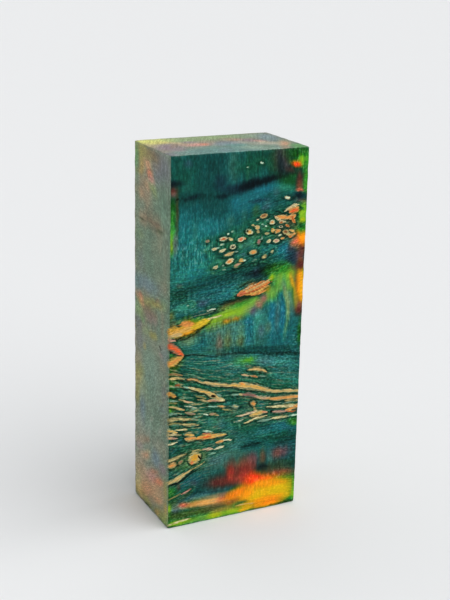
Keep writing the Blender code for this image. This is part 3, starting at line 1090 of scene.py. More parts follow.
# The bare streaks
# Hard, closed wood takes little dye, so the tongues of grain that run between the buds stay
# tan, cream or orange. Each is the colours of its rim and of its core, its width and the points
# it runs through; a dark line of packed dye lies round it, heavier along the underside.
TINTS = {
    "tan": "D4B070",
    "pale tan": "CCBC84",
    "cream": "E6DEAE",
    "mint": "8CC0A4",
    "white mint": "D8ECCF",
    "straw": "CABE80",
    "yellow": "E4C030",
    "gold": "E4B258",
    "marigold": "E2A834",
    "orange": "E4964A",
    "hot orange": "EE6430",
    "coral": "D87850",
    "pink": "C89C84",
    "rose": "A06C60",
    "mauve": "8C7A6E",
    "olive": "8C8A50",
    "olive tan": "A49662",
    "grey mint": "7CA08C",
    "brown": "8A5A34",
    "ember": "C4602C",
    "black": "0A0604",
    "rust": "A8562E",
}
SHOW_STREAKS = (
    # The long streaks that cross the face
    ("brown", "tan", 1.2, ((6.2, 54.5), (9, 53.9), (11.4, 52.8))),
    ("pale tan", "tan", 1.4, ((10.4, 53), (15, 51.5), (18, 50.8), (22, 49.8), (26, 49.1))),
    ("pale tan", "gold", 2.2, ((20, 50.1), (24, 49.5), (26, 49), (30, 48.3), (33, 47.4),
                               (36, 46.3), (38, 45.4), (42, 44.5))),
    ("straw", "tan", 1.3, ((35, 46.5), (38, 45.3), (41, 44.6), (45, 44), (56, 42.8))),
    ("tan", "orange", 1, ((26.4, 50), (27.4, 49.5), (28.6, 49.1))),
    ("grey mint", "mint", 1, ((23.2, 46.1), (25, 45.8), (27.2, 45.6))),
    ("pale tan", "straw", 1, ((26.4, 45.8), (27.4, 45.6), (28.6, 45.3))),
    ("mauve", "rose", 1.5, ((27.8, 45.5), (30.4, 45), (32.6, 44.2), (34.6, 43.4))),
    ("pale tan", "pink", 1.2, ((32.6, 44), (35, 43.2), (37.4, 42.5), (40, 41.9))),
    ("tan", "orange", 1.6, ((37, 42.5), (40, 41.9), (44, 41.5), (48, 41.3), (54, 40.6))),
    ("grey mint", "grey mint", 0.4, ((33.6, 44.2), (36.6, 43.4), (40, 42.8))),
    ("grey mint", "mint", 1, ((5, 52), (6.6, 51.4), (8.6, 50.7))),
    ("straw", "cream", 1.2, ((6.6, 51.5), (9.5, 50.3), (12.5, 49.1), (15.5, 47.7))),
    ("straw", "gold", 1.4, ((9, 50.4), (12.5, 49.1), (15.6, 47.8), (18.4, 46.2))),
    ("straw", "tan", 1.9, ((13.6, 48.2), (16.2, 46.9), (18.6, 45.3), (21.2, 44.3))),
    ("grey mint", "grey mint", 0.9, ((17.6, 47.2), (19, 46.5), (20.4, 46))),
    ("pink", "tan", 0.9, ((14, 45.4), (16.6, 45), (19.6, 44.4))),
    ("straw", "cream", 0.6, ((19, 44.9), (21.6, 44.3))),
    # The comb of streaks that comes in from the left edge
    ("olive tan", "brown", 1, ((-2, 57.3), (2, 56.8), (5, 55.8))),
    ("straw", "tan", 0.9, ((-1, 55.6), (3, 55.2), (6, 54.4))),
    ("brown", "rust", 0.9, ((1.6, 52.9), (3, 52.7), (4.2, 52.4))),
    ("gold", "orange", 2, ((-2, 50.9), (0.8, 49.6), (2.6, 48.6))),
    ("olive", "olive tan", 0.7, ((-1, 46.9), (1.4, 46.5), (3.4, 46))),
    ("grey mint", "grey mint", 0.6, ((-1, 47.9), (1.6, 47.3), (3.6, 46.8))),
    ("straw", "tan", 0.7, ((3, 47.6), (4.6, 47), (6.4, 46.3))),
    ("pale tan", "pink", 0.8, ((5.4, 46.4), (7.6, 45.8), (10, 45.2))),
    ("olive tan", "pale tan", 0.7, ((10.2, 46.6), (12.4, 45.8), (15, 44.9))),
    ("olive", "olive tan", 0.7, ((9.4, 48), (11.8, 47), (14.2, 46))),
    ("straw", "tan", 1, ((-1, 45.7), (2.6, 44.6), (6.2, 43.2))),
    ("grey mint", "cream", 0.8, ((5.6, 44.8), (8, 44.1), (10.6, 43.2))),
    ("grey mint", "mint", 0.5, ((-2, 42.6), (1.6, 42.3), (4.6, 41.9))),
    ("olive tan", "mauve", 1.1, ((6, 42.3), (8.2, 41.6), (10.2, 41.1))),
    ("grey mint", "mint", 0.8, ((14.2, 43.3), (16.4, 42.8), (19.2, 42.4))),
    ("tan", "orange", 0.9, ((18.4, 42.7), (20, 42.3), (21.4, 42))),
    ("olive", "olive tan", 0.6, ((20, 41.4), (22, 40.7), (24, 40))),
    ("olive tan", "straw", 1.4, ((-6, 40.9), (1, 40.6), (5, 40.1), (9.4, 39.5))),
    ("mint", "white mint", 0.6, ((8.4, 39.6), (9.4, 39.3), (10.4, 39))),
    ("white mint", "white mint", 0.6, ((12.6, 40.7), (13.8, 40.3), (15, 39.8))),
    ("olive tan", "pink", 1, ((14.8, 40.4), (16.8, 39.8), (19.2, 39.1))),
    ("olive", "olive tan", 0.7, ((-4, 39.4), (2, 38.9), (6, 38.4))),
    ("olive tan", "straw", 1, ((3.4, 38.5), (7, 37.8), (11.6, 36.8))),
    ("straw", "gold", 1.7, ((-5, 37.3), (0.4, 36.4), (3.2, 35.4))),
    ("straw", "cream", 0.9, ((2.4, 36.5), (4.8, 36.2), (7.6, 35.7))),
    ("pink", "tan", 1, ((-3, 33.8), (0.4, 33.7), (3.4, 33.4))),
    ("pale tan", "cream", 1, ((-3, 35.2), (1, 34.9), (4.6, 34.5))),
    ("cream", "cream", 0.8, ((-3, 31.4), (0.8, 31.6), (3.2, 31.9))),
    ("mint", "white mint", 0.8, ((12.4, 34.6), (14.4, 34.1), (17, 33.3))),
    ("rose", "coral", 0.9, ((13, 33.4), (14.6, 33.2), (16, 32.8))),
    # The orange tongue and the small ones under it
    ("olive tan", "gold", 1.5, ((5.6, 34.2), (7.4, 34), (9.4, 33.4))),
    ("straw", "orange", 2.4, ((6, 32.6), (8, 32.4), (10.4, 32))),
    ("gold", "orange", 2.2, ((10, 31.9), (13.4, 32), (16.4, 31.8), (19.6, 31.6))),
    ("orange", "hot orange", 1, ((12.6, 31.6), (14.4, 31.9), (16, 31.9))),
    ("straw", "gold", 1.5, ((16, 31.8), (19, 31.7), (22, 31.5))),
    ("tan", "orange", 1.3, ((17.8, 29), (19.6, 29.1), (21.4, 29.3))),
    ("cream", "white mint", 0.9, ((20.4, 29.6), (22.2, 29.4), (24.6, 28.9))),
    ("olive tan", "straw", 1.5, ((-5, 24.8), (1, 25.7), (4, 26.3), (7.4, 27.1))),
    ("olive", "straw", 0.8, ((8, 27.8), (10.8, 27.6), (13.2, 27.2))),
    ("pink", "cream", 1.1, ((12.8, 27.5), (14.8, 27.3), (17, 26.8))),
    ("cream", "white mint", 0.9, ((17, 26.6), (19.4, 26.9), (21.6, 27.1))),
    ("mint", "mint", 0.6, ((15.2, 25.1), (17, 25.3), (18.6, 25.3))),
    ("straw", "tan", 1.8, ((-6, 15.8), (0, 17.2), (3.4, 18), (6, 19.4), (9, 20.7))),
    ("olive", "straw", 0.7, ((7.6, 20.4), (10, 21.1), (12, 21.7), (13.8, 22.7))),
    # The forked knot on the right
    ("olive", "olive tan", 1.1, ((32.6, 40.2), (33, 39.2), (33.8, 37.9))),
    ("olive", "olive tan", 0.7, ((43.6, 40.5), (48, 40), (54, 39.4))),
    ("pink", "cream", 1, ((25.2, 37.6), (28, 37.6), (31, 37.9), (34, 38.3))),
    ("grey mint", "cream", 0.9, ((24.8, 35.5), (26.6, 35.7), (28.6, 35.9))),
    ("straw", "cream", 0.9, ((28.2, 34.2), (30.8, 34.8), (33.4, 35.5), (38.2, 35.9))),
    ("straw", "gold", 2.1, ((30.8, 36.8), (33, 37.3), (35.4, 37.5), (37.8, 37.2))),
    ("cream", "coral", 1.1, ((36, 37.6), (37, 37.4), (38.2, 37))),
    ("olive", "brown", 0.7, ((31.2, 36.4), (33, 36.3), (35, 36.3))),
    ("straw", "cream", 1.3, ((37.8, 39.1), (42, 38.6), (46, 38.1), (56, 36.8))),
    ("grey mint", "grey mint", 0.4, ((38, 40.3), (43, 39.7), (50, 39.1))),
    ("mauve", "pink", 1.4, ((40, 37), (43, 36.5), (46.4, 36.2))),
    ("tan", "orange", 1.7, ((45.4, 36.6), (47.4, 36.8), (50, 37.4), (56, 38))),
    ("ember", "rust", 0.7, ((46.4, 35.9), (48.4, 35.6), (50.4, 35.8))),
    ("grey mint", "mint", 0.9, ((33.8, 34.1), (37, 34.2), (41, 34.3))),
    ("straw", "cream", 1.2, ((39.4, 34.4), (42.6, 34.3), (47, 34))),
    ("mint", "white mint", 1, ((45.8, 34.1), (50, 34.2), (56, 34.6))),
    # Small ones over the long streaks
    ("straw", "pink", 0.8, ((27.4, 52.7), (29, 52.4), (30.8, 51.8))),
    ("tan", "rust", 0.9, ((30.8, 52), (32.4, 51.6), (34, 51))),
    ("olive tan", "tan", 1.6, ((29.6, 54.2), (31.6, 54.3), (34, 53.9), (37.4, 52.4))),
    ("grey mint", "grey mint", 0.6, ((34.2, 51.5), (37.4, 50.7))),
    # The big orange lens, and the lime and yellow ones along the diagonal
    ("orange", "orange", 3.5, ((25.2, 82), (29, 82.9), (33, 83.7), (37.2, 85))),
    ("coral", "coral", 1.6, ((24.6, 81.6), (26.4, 81.9), (28.4, 82.3))),
    ("cream", "tan", 0.8, ((26.4, 82.8), (28.6, 83.6), (31, 84.3), (33.6, 85))),
    ("ember", "ember", 0.5, ((27.4, 82.8), (30.6, 84), (34, 85), (36.6, 85.9))),
    ("pale tan", "tan", 0.9, ((27.6, 82.3), (31, 83.3), (34.6, 84.6), (38.4, 86.4))),
    ("ember", "ember", 0.5, ((29.4, 82.2), (32.6, 82.9), (36, 84.2), (38, 85))),
    ("gold", "gold", 0.9, ((27.6, 81.3), (31.4, 81.8), (34.6, 82.8), (37.8, 83.9))),
    ("rust", "rust", 0.4, ((25.4, 81.7), (28.6, 81.8), (32, 82.4), (35, 83.3))),
    ("orange", "orange", 0.9, ((30, 81), (33.4, 81.4), (36.6, 82.6))),
    ("marigold", "gold", 4.2, ((-7, 71), (-2, 71.4), (3, 71.6), (7.4, 72.4), (12, 73.6))),
    ("orange", "orange", 2.6, ((3.6, 74), (6.2, 74), (9, 73.4))),
    ("yellow", "yellow", 2.7, ((7.4, 72.2), (10.6, 73), (15.2, 74.8))),
    ("pale tan", "tan", 1.8, ((-2, 70.4), (1.5, 70.4), (5, 70.6))),
    ("white mint", "white mint", 0.6, ((13.6, 77.4), (15.4, 77.8), (17.2, 78))),
    ("straw", "cream", 0.8, ((13.4, 74.4), (16, 75), (19.6, 75.4))),
    ("pink", "pink", 1.1, ((-2, 69.6), (0.4, 69), (2.4, 68.4))),
    ("coral", "hot orange", 2.6, ((-6, 69), (-1, 67.4), (2, 65.6), (5.2, 63))),
    ("gold", "orange", 2.8, ((-5, 59.4), (-1, 60.6), (2, 61.4), (5, 62.8))),
    # The foot
    ("olive", "olive", 0.7, ((-2, 10.2), (2, 11.3), (5.2, 12.4))),
    ("rose", "pink", 1, ((5, 11.8), (6.8, 12.5), (8.8, 13.4))),
    ("straw", "cream", 0.9, ((-3, 0.7), (2, 1.2), (5, 1.6), (9.6, 2))),
    ("gold", "straw", 0.6, ((26, 3), (30, 2.8), (35, 2.4))),
    # The orange streaks among the eyes of the top right corner
    ("cream", "pale tan", 1, ((41.8, 108.8), (43.4, 109.8), (45.6, 110.9), (47.8, 110.8))),
    ("tan", "orange", 1.8, ((43.4, 109.4), (45.4, 109.5), (47.8, 110))),
    ("orange", "hot orange", 2, ((43.6, 108.4), (45.6, 108.8), (47.8, 109.2))),
    ("cream", "tan", 1, ((38, 107.9), (39.6, 106.6), (41.2, 105.6), (43, 105.2))),
    ("tan", "orange", 2, ((39, 107.6), (41.4, 106.9), (44.4, 106.7))),
    ("tan", "orange", 1.8, ((42.6, 107), (44.8, 106.8), (46.6, 107.4))),
    ("orange", "ember", 1.3, ((44.8, 107.2), (45.4, 105.9), (46.4, 104.5))),
    ("tan", "gold", 0.9, ((44, 102.6), (45.6, 102), (46.6, 101))),
    ("tan", "orange", 1.2, ((43.6, 100.4), (45.6, 100.6), (46.8, 101))),
)

# A streak narrows to points, swells here and there, and soon ends behind the face. Where two
# cross, the later one lies on top once it is this far inside its rim.
STREAK_WIDTH = 0.9
STREAK_NARROWS = 0.85
STREAK_BLUNTNESS = 2.5
STREAK_DEPTH = 1.8
ON_TOP = 0.2

# The dark line is weaker on the upper side, and grows stronger with the streak's width.
OUTLINE = 0.80
UPPER_SHARE = 0.55
LINE_LEAST = 0.1
LINE_BY_WIDTH = 0.55

# This far outside the rim lie the dark line, the green of the ground and the pale thread, and
# each fades out over its own reach.
OUTLINE_GAP, OUTLINE_SOFT = 0.42, 0.42
HALO_REACH = 1.3
ECHO_GAP, ECHO_SOFT = 1.15, 0.28

bare = np.full(len(spots), -1.0)
tint = np.repeat(depth_of["tan"][None], len(spots), axis=0)
heart = tint.copy()
shade = np.zeros(len(spots))
greened = np.zeros(len(spots))
echo = np.zeros(len(spots))
tint_of = {name: steeped(code) for name, code in TINTS.items()}


def from_line(along, up, points):
    """Distance from a line of points, how far along it is nearest, and the height above it."""
    nearest = np.full(len(along), np.inf)
    share = np.zeros(len(along))
    above = np.zeros(len(along))
    points = np.array(points, float)
    lengths = np.hypot(*np.diff(points, axis=0).T)
    starts = np.concatenate([[0], np.cumsum(lengths)])
    for start, (first, last), length in zip(starts, zip(points, points[1:]), lengths):
        run, rise = (last - first) / length
        ahead = np.clip((along - first[0]) * run + (up - first[1]) * rise, 0, length)
        side = (up - first[1] - ahead * rise) * run - (along - first[0] - ahead * run) * rise
        distance = np.hypot(along - first[0] - ahead * run, up - first[1] - ahead * rise)
        closer = distance < nearest
        nearest = np.where(closer, distance, nearest)
        share = np.where(closer, (start + ahead) / starts[-1], share)
        above = np.where(closer, side, above)
    return nearest, share, above


def bell(distance, reach):
    """1 where the distance is nothing, fading to little past this reach."""
    return np.exp(-((distance / reach) ** 2))


def outline(outside, above, faded, width):
    """Packs dark dye against bare wood, most of it underneath, and greens the ground there.

    A paler thread of grain follows the dark line a little further out.
    """
    fade = np.clip(1 - faded, 0, 1)
    heaviness = np.where(above < 0, 1, UPPER_SHARE) * min(1, LINE_LEAST + LINE_BY_WIDTH * width)
    line = OUTLINE * heaviness * bell(outside - OUTLINE_GAP, OUTLINE_SOFT) * fade
    shade[:] = np.maximum(shade, line)
    greened[:] = np.maximum(greened, bell(np.maximum(outside, 0), HALO_REACH) * fade)
    thread = bell(outside - ECHO_GAP, ECHO_SOFT) * fade
    echo[:] = np.maximum(echo * np.clip(outside / OUTLINE_GAP, 0, 1), thread)


def leave_bare(inside, rim, core):
    """Keeps the dye out of a shape, which is above 0 inside, and sets its two colours."""
    here = inside > np.minimum(bare, ON_TOP)
    tint[here] = tint_of[rim]
    heart[here] = tint_of[core]
    bare[:] = np.maximum(bare, inside)


def lay_bare(face, rim, core, width, points, depth=STREAK_DEPTH):
    """Leaves one streak undyed, pointed at both ends, with its dark outline."""
    along, up, behind = faces[face]
    along = along + lumped(sideways=0.2)
    up = up + lumped(sideways=0.1, fine=0.08) - climb * behind
    distance, share, above = from_line(along, up, points)
    pointed = 1 - STREAK_NARROWS * np.abs(2 * share - 1) ** STREAK_BLUNTNESS
    half = STREAK_WIDTH * width / 2 * pointed * (1 + lumped(swelling=0.25))
    leave_bare(1 - np.hypot(distance / half, behind / depth), rim, core)
    outline(distance - half, above, behind / depth, width)


for streak in SHOW_STREAKS:
    lay_bare("show", *streak)

# The broadest streaks come out on the back too, reversed, where their layers end.
BROAD_STREAK = 1.2
SHALLOW = 0.5


def through(place_along, place_up):
    """Where the layer at a place on the show face comes out on the back."""
    return WIDTH - place_along, place_up + THICK * np.interp(place_up, CLIMB_HEIGHTS, CLIMBS)


for rim, core, width, points in SHOW_STREAKS:
    if width >= BROAD_STREAK:
        lay_bare("back", rim, core, width, [through(*point) for point in points], SHALLOW)

# The burl eyes
# Each eye is a bud that never opened, cut across: a tan or cream oval with a darker heart and a
# ring of packed dye round it. Each is its place, length, width and slope, and the colours of
# its ring of wood and of its heart.
SHOW_EYES = (
    (34.2, 108.1, 3.3, 1.7, 4, "tan", "brown"),
    (31.9, 107, 1.6, 0.9, 10, "grey mint", "cream"),
    (35.4, 106.6, 1.5, 0.6, 0, "mint", "mint"),
    (37.4, 105.7, 2.6, 1.7, 0, "cream", "orange"),
    (35, 104.6, 1.4, 0.8, -20, "mint", "white mint"),
    (30.1, 105.3, 1.7, 0.8, -20, "olive tan", "straw"),
    (33.6, 105.3, 1.2, 0.7, -20, "mint", "mint"),
    (31.8, 104.4, 2.2, 1.8, -30, "pale tan", "tan"),
    (32.2, 102.9, 1.6, 1.2, -20, "olive tan", "straw"),
    (28.8, 103.2, 3.2, 2.1, -18, "cream", "gold"),
    (22.4, 103.8, 1.5, 0.7, 14, "mint", "mint"),
    (20.9, 103.1, 1.3, 0.8, 10, "mint", "white mint"),
    (19.2, 101.6, 3.6, 1.8, 0, "cream", "ember"),
    (21.9, 101.3, 2.4, 1.2, -24, "pale tan", "straw"),
    (25.8, 100.9, 2.8, 1.8, 10, "cream", "coral"),
    (27.2, 101, 1.2, 1, 0, "tan", "coral"),
    (13.3, 101.5, 1.6, 1.3, 0, "olive tan", "mauve"),
    (37.7, 102.8, 1.7, 1.7, 0, "gold", "tan"),
    (39.7, 102.4, 2.6, 1.7, 0, "tan", "orange"),
    (40.8, 103.8, 2, 1, -10, "cream", "black"),
    (35.5, 102, 2.2, 1.1, 0, "pale tan", "olive tan"),
    (42.9, 101.8, 3.2, 2.1, -18, "straw", "brown"),
    (41.6, 99.8, 2, 1, 0, "tan", "orange"),
    (40.9, 105.3, 2, 0.9, -10, "tan", "rust"),
    (43.4, 103.9, 2.2, 0.9, -20, "orange", "rust"),
    (44.6, 100, 1.6, 1, 0, "orange", "ember"),
    (40.4, 100.9, 2, 0.7, 10, "mint", "cream"),
    (33.7, 100.6, 0.9, 1.8, 0, "grey mint", "grey mint"),
    (18.7, 99.8, 2.4, 0.8, 4, "mint", "cream"),
    (15.8, 98.5, 2.4, 1.2, 6, "cream", "pale tan"),
    (17.2, 98.8, 1.6, 0.6, 10, "mint", "mint"),
    (18.8, 97.7, 3.4, 1.1, 18, "cream", "straw"),
    (22.7, 98.6, 2.7, 1.7, 0, "cream", "black"),
    (21.4, 96.3, 4.4, 1.5, 12, "pale tan", "tan"),
    (24.2, 96.9, 1.6, 0.8, 10, "grey mint", "mint"),
    (21.6, 93.8, 3.5, 1.9, 18, "cream", "orange"),
    (26.1, 93.6, 2.2, 1.6, 0, "gold", "tan"),
    (27.3, 93.6, 1.4, 0.9, 0, "mint", "white mint"),
    (16.6, 92.3, 2.2, 1.2, 6, "cream", "olive tan"),
    (19.2, 92.6, 1.2, 0.6, 10, "mint", "white mint"),
    (24.6, 92.2, 3.2, 1.5, 24, "olive tan", "pink"),
    (30.5, 96, 3.1, 2, 6, "straw", "orange"),
    (36.2, 99.2, 2.5, 1.3, 24, "cream", "pale tan"),
    (39.3, 99.1, 2.9, 1.5, 0, "cream", "pink"),
    (34.9, 94.1, 2.6, 1.4, 24, "olive tan", "straw"),
    (37.8, 95.5, 1.5, 1.1, 20, "straw", "mint"),
    (31.2, 93.1, 2.4, 0.5, 8, "mint", "mint"),
    (32.5, 99.4, 2.2, 1.5, 70, "mauve", "rose"),
    (19.6, 91, 2, 0.5, 0, "grey mint", "mint"),
    (32.6, 125.9, 1.6, 0.8, -8, "white mint", "mint"),
    (27.6, 124.7, 1.2, 0.5, 0, "mint", "mint"),
    (43, 113.5, 2.8, 1.2, -14, "cream", "white mint"),
    # Small ones along the streaks, and the round knot
    (25.2, 41.4, 3.6, 1.5, -12, "grey mint", "straw"),
    (32.3, 41.3, 2.6, 2.2, -50, "olive tan", "orange"),
    (1.2, 23.6, 3.8, 2.6, 12, "tan", "orange"),
    (4.5, 24.2, 2.4, 1.4, 24, "olive tan", "rose"),
    (9.8, 24.8, 5.4, 5, 10, "straw", "marigold"),
    (8.9, 23.2, 2, 1.5, 0, "orange", "coral"),
    (6.6, 80.3, 1.2, 0.6, 10, "mint", "mint"),
)
EYE_SIZE = 0.90
EYE_DEPTH = 2.0

# How far inside the wood of an eye counts as being, from its middle through its rim, at 1, to
# the ground round it.
RING_RATIOS = (0.0, 0.45, 0.62, 0.76, 1.0, 3.0)
RING_INSIDE = (1.0, 0.80, 0.56, 0.36, 0.0, -5.0)


def open_eye(face, place_along, place_up, length, width, slope, ring, core, depth=EYE_DEPTH):
    """Leaves one eye undyed, darkens the wood that closes round it, and sets its heart."""
    along, up, behind = faces[face]
    along = along + lumped(sideways=0.15, fine=0.05)
    up = up + lumped(sideways=0.1, fine=0.06) - climb * behind
    size = (length * EYE_SIZE, width * EYE_SIZE)
    ratio, above = from_oval(along, up, (place_along, place_up), size, slope)
    leave_bare(np.interp(np.hypot(ratio, behind / depth), RING_RATIOS, RING_INSIDE), ring, core)
    outline((ratio - 1) * width / 2, above, behind / depth, width)


for eye in SHOW_EYES:
    open_eye("show", *eye)

# The longer buds reach the back as well.
LONG_EYE = 2.4
for place_along, place_up, length, width, slope, ring, core in SHOW_EYES:
    if length >= LONG_EYE:
        there = through(place_along, place_up)
        open_eye("back", *there, length, width, -slope, ring, core, SHALLOW)

# The dark seams
# Packed bark and dye also run as dark seams along the layers, with no bare wood beside them. The
# two along the foot are painted shade, where the block stands on the floor. Each is its darkness,
# its width and the points it runs through.
SHOW_SEAMS = (
    (0.45, 3, ((21, 116.4), (25, 117.8), (30, 119), (35, 120.2), (40, 120.8), (45, 121.4))),
    (0.3, 2.4, ((-2, 115.4), (5, 115.9), (11, 116.4), (21, 116))),
    (0.25, 1.4, ((28, 113.6), (33, 113.4), (38, 113), (43, 112))),
    (0.7, 1.4, ((20, 89.6), (26, 91.2), (31, 92.2), (36, 91.4))),
    (0.6, 1.8, ((26, 88.4), (32, 88.9), (37, 90.4), (43, 91))),
    (0.8, 1.2, ((18, 79), (26, 80.6), (31, 80.7), (34, 81))),
    (0.7, 1, ((24.4, 83.6), (28, 85.4), (33, 86.2), (37, 87.8))),
    (0.7, 0.8, ((12, 76), (17, 76.6), (22, 77.6))),
    (0.85, 0.9, ((1, 68.9), (6, 68.7), (9, 70), (12.4, 72.2), (15, 73))),
    (0.85, 0.8, ((15.6, 77.2), (17.4, 77.5))),
    (0.9, 0.8, ((-1, 41.6), (4, 41.3), (10, 40.7))),
    (0.8, 0.6, ((-1, 39.5), (4, 39), (9, 38.5))),
    (0.8, 0.6, ((-1, 37.9), (5, 37.2), (11, 36))),
    (0.95, 0.7, ((2.6, 63.6), (5.4, 62.9), (9, 62.9), (12, 62), (15.6, 61.3))),
    (0.75, 1.2, ((15, 61.2), (20, 61.2), (26, 61), (31, 60.2), (36, 59.6))),
    (0.7, 2, ((34, 59.6), (40, 58.8), (45, 58.3), (52, 57))),
    (0.5, 0.8, ((-1, 58.6), (4, 58.9), (8, 57.6), (14, 55.6), (20, 54.6))),
    (0.95, 1, ((0.8, 16.2), (3.4, 16.3), (6, 17.6), (9, 19.4), (12, 20.4))),
    (0.7, 1.6, ((28, 25.2), (32, 26), (36, 25.8))),
    (0.5, 2, ((6, 11), (11, 11.2), (16, 10.6), (20, 10.4))),
    (0.5, 0.8, ((36, 16.6), (39.6, 16))),
    # These two seams along the foot are painted shade, where the block stands on the floor.
    (0.8, 0.6, ((40, 0.3), (46, 0.5), (52, 0.5))),
    (0.3, 0.4, ((9, 0), (22, 0.1), (36, 0.1))),
    (0.9, 0.7, ((41.4, 109.6), (43.6, 109), (45, 108.2))),
    (0.9, 0.7, ((44.6, 110.8), (46.6, 110.6))),
    (0.8, 0.8, ((38, 109.4), (41, 108.4), (43, 107.8))),
    (0.9, 0.6, ((11.3, 25.9), (12, 25), (12.3, 23.8))),
    (0.8, 0.5, ((35.6, 85.9), (37.6, 85.6))),
    (0.9, 0.9, ((2, 116), (2.9, 116.2))),
)
SEAM_MIDDLE = 1.1
SEAM_NARROWS = 0.7
SEAM_BLUNTNESS = 3
SEAM_DEPTH = 2 * STREAK_DEPTH


def run_seam(darkness, width, points):
    """Darkens the wood along one seam of the show face."""
    along, up, behind = faces["show"]
    along = along + lumped(sideways=0.25)
    up = up + lumped(sideways=0.2, fine=0.12) - climb * behind
    distance, share, _ = from_line(along, up, points)
    taper = SEAM_MIDDLE - SEAM_NARROWS * np.abs(2 * share - 1) ** SEAM_BLUNTNESS
    dark = darkness * bell(distance, width / 2 * taper)
    shade[:] = np.maximum(shade, dark * np.clip(1 - behind / SEAM_DEPTH, 0, 1))


for seam in SHOW_SEAMS:
    run_seam(*seam)

# Short, nearly upright teeth hang from the lime band.
TEETH, TOOTH_GAP, TOOTH_LENGTH, TOOTH_LEAN = 13, 0.95, 3.4, 0.3
TEETH_FROM, TEETH_TOP = 14.2, 73.6
TOOTH_DARKNESS, TOOTH_WIDTH = 0.4, 0.5
for number in range(TEETH):
    tooth = TEETH_FROM + TOOTH_GAP * number
    tip = (tooth + TOOTH_LEAN, TEETH_TOP - TOOTH_LENGTH)
    run_seam(TOOTH_DARKNESS, TOOTH_WIDTH, ((tooth, TEETH_TOP), tip))

# A stack of arched growth lines stands at the left edge, under the eyes.
RIPPLES, RIPPLE_GAP, LOWEST_RIPPLE = 7, 0.85, 80.4
RIPPLE_ARCH = ((-1, 0), (1.5, 0.7), (4, 0.9), (7, 0.6))
RIPPLE_DARKNESS, RIPPLE_WIDTH = 0.6, 0.5
for number in range(RIPPLES):
    start = LOWEST_RIPPLE + RIPPLE_GAP * number
    arch = [(place_along, start + rise) for place_along, rise in RIPPLE_ARCH]
    run_seam(RIPPLE_DARKNESS, RIPPLE_WIDTH, arch)

# The fields that the finish reads
# How the grain runs, how smooth it is and where it splits into fine strands was also read off
# the wood. What was worked out at each point goes onto the mesh under its own name.
BRIGHTNESS = (0.21, 0.72, 0.07)
BRIGHT_FROM, BRIGHT_TO = 0.10, 0.34
lightness = np.exp(dye) @ BRIGHTNESS
calm = eased(np.clip((lightness - BRIGHT_FROM) / (BRIGHT_TO - BRIGHT_FROM), 0, 1))

# The narrow sides and ends are mottled lighter and darker along the layers. On the broad faces
# the ground beside bare wood is greener.
MOTTLE = 0.22
MOTTLE_LENGTHS = (2.6, 2.6, 0.9)
GREENED = 0.52
greened[narrow] = 0
layer_rows = np.stack([across, into, up - climb * into], axis=1)
dye += (MOTTLE * wander(layer_rows, MOTTLE_LENGTHS, seed=8) * narrow)[:, None]
dye += (GREENED * greened * (1 - calm))[:, None] * (depth_of["bottle"] - dye)

# Each patch is its place, its half width and half height, its slope and its strength.
QUIET_PATCHES = (
    (14, 122, 34, 14, 0, 0.72),
    (12, 108, 17, 7, 0, 0.6),
    (40, 117, 14, 6, 0, 0.6),
    (40, 73, 8, 11, 0, 0.5),
    (30, 15, 12, 8, 0, 0.85),
    (22, 7, 12, 5, 0, 0.8),
    (48, 82, 3, 12, 0, 1),
    (28, 77, 12, 4, 14, 0.7),
)
UPRIGHT_PATCHES = (
    (25, 128, 32, 11, 0, 1),
    (8, 106, 20, 16, 0, 0.9),
    (24, 68, 16, 8, 0, 0.7),
    (41, 73, 6, 12, 0, 0.9),
    (31, 14, 17, 9, 0, 0.9),
    (24, 4, 4, 3, 0, 0.7),
)
STRAND_PATCHES = (
    (4, 45, 11, 15, 0, 1),
    (16, 50, 14, 5, -20, 0.55),
    (34, 41, 20, 7, -6, 0.5),
    (10, 31, 13, 6, 0, 0.5),
    (14, 57, 14, 4, -14, 0.5),
    (12, 74, 12, 4, 8, 0.35),
    (34, 52, 14, 4, -12, 0.4),
    (8, 20, 10, 5, 14, 0.35),
    (12, 7, 14, 3, 0, 0.25),
)

# A patch fades out from a little inside its rim to this ratio, and behind the face from this
# depth on.
PATCH_END, PATCH_SOFT = 1.35, 0.7
PATCH_DEPTH = 6


def patched(patches):
    """A field that is strong inside these soft ovals of the show face and fades out round them."""
    along, up, behind = faces["show"]
    total = np.zeros(len(spots))
    for place_along, place_up, half_wide, half_high, slope, strength in patches:
        size = (2 * half_wide, 2 * half_high)
        ratio, _ = from_oval(along, up, (place_along, place_up), size, slope)
        held = np.clip((PATCH_END - ratio) / PATCH_SOFT, 0, 1)
        held *= np.clip(2 - behind / PATCH_DEPTH, 0, 1)
        total = np.maximum(total, strength * held)
    return total


# Under their painted sheen the narrow faces show calmer fibres and fewer strands.
NARROW_CALM = 0.72
NARROW_STRANDS = 0.3
upright = patched(UPRIGHT_PATCHES)
strands = patched(STRAND_PATCHES)
calm = np.maximum(calm, patched(QUIET_PATCHES))
calm[narrow] = NARROW_CALM
strands[narrow] *= NARROW_STRANDS

# The pale threads beside the streaks come and go with the clouds, and the top end is darker.
ECHO = 0.36
ECHO_ANYWHERE = 0.6
TOP_DARKER = 0.2
threaded = ECHO * echo * np.clip(ECHO_ANYWHERE + lumped(small_cloud=0.9), 0, 1)
threaded *= (1 - calm) * ~narrow
dye += threaded[:, None] * (depth_of["straw"] - dye)
dye[belongs["top"]] -= TOP_DARKER


def note(name, values, kind):
    """Writes one field onto the mesh."""
    field = block_mesh.attributes.new(name, kind, "POINT")
    if kind == "FLOAT":
        field.data.foreach_set("value", values.astype(np.float32))
    elif kind == "FLOAT_VECTOR":
        field.data.foreach_set("vector", values.astype(np.float32).ravel())
    else:
        whole = np.concatenate([values, np.ones((len(values), 1))], axis=1)
        field.data.foreach_set("color", whole.astype(np.float32).ravel())


for name, depths in {"dye": dye, "tint": tint, "heart": heart}.items():
    note(name, np.exp(depths), "FLOAT_COLOR")
shares = {
    "bare": bare, "shade": shade, "void_shade": void_shade,
    "calm": calm, "upright": upright, "strands": strands,
}
for name, values in shares.items():
    note(name, values, "FLOAT")

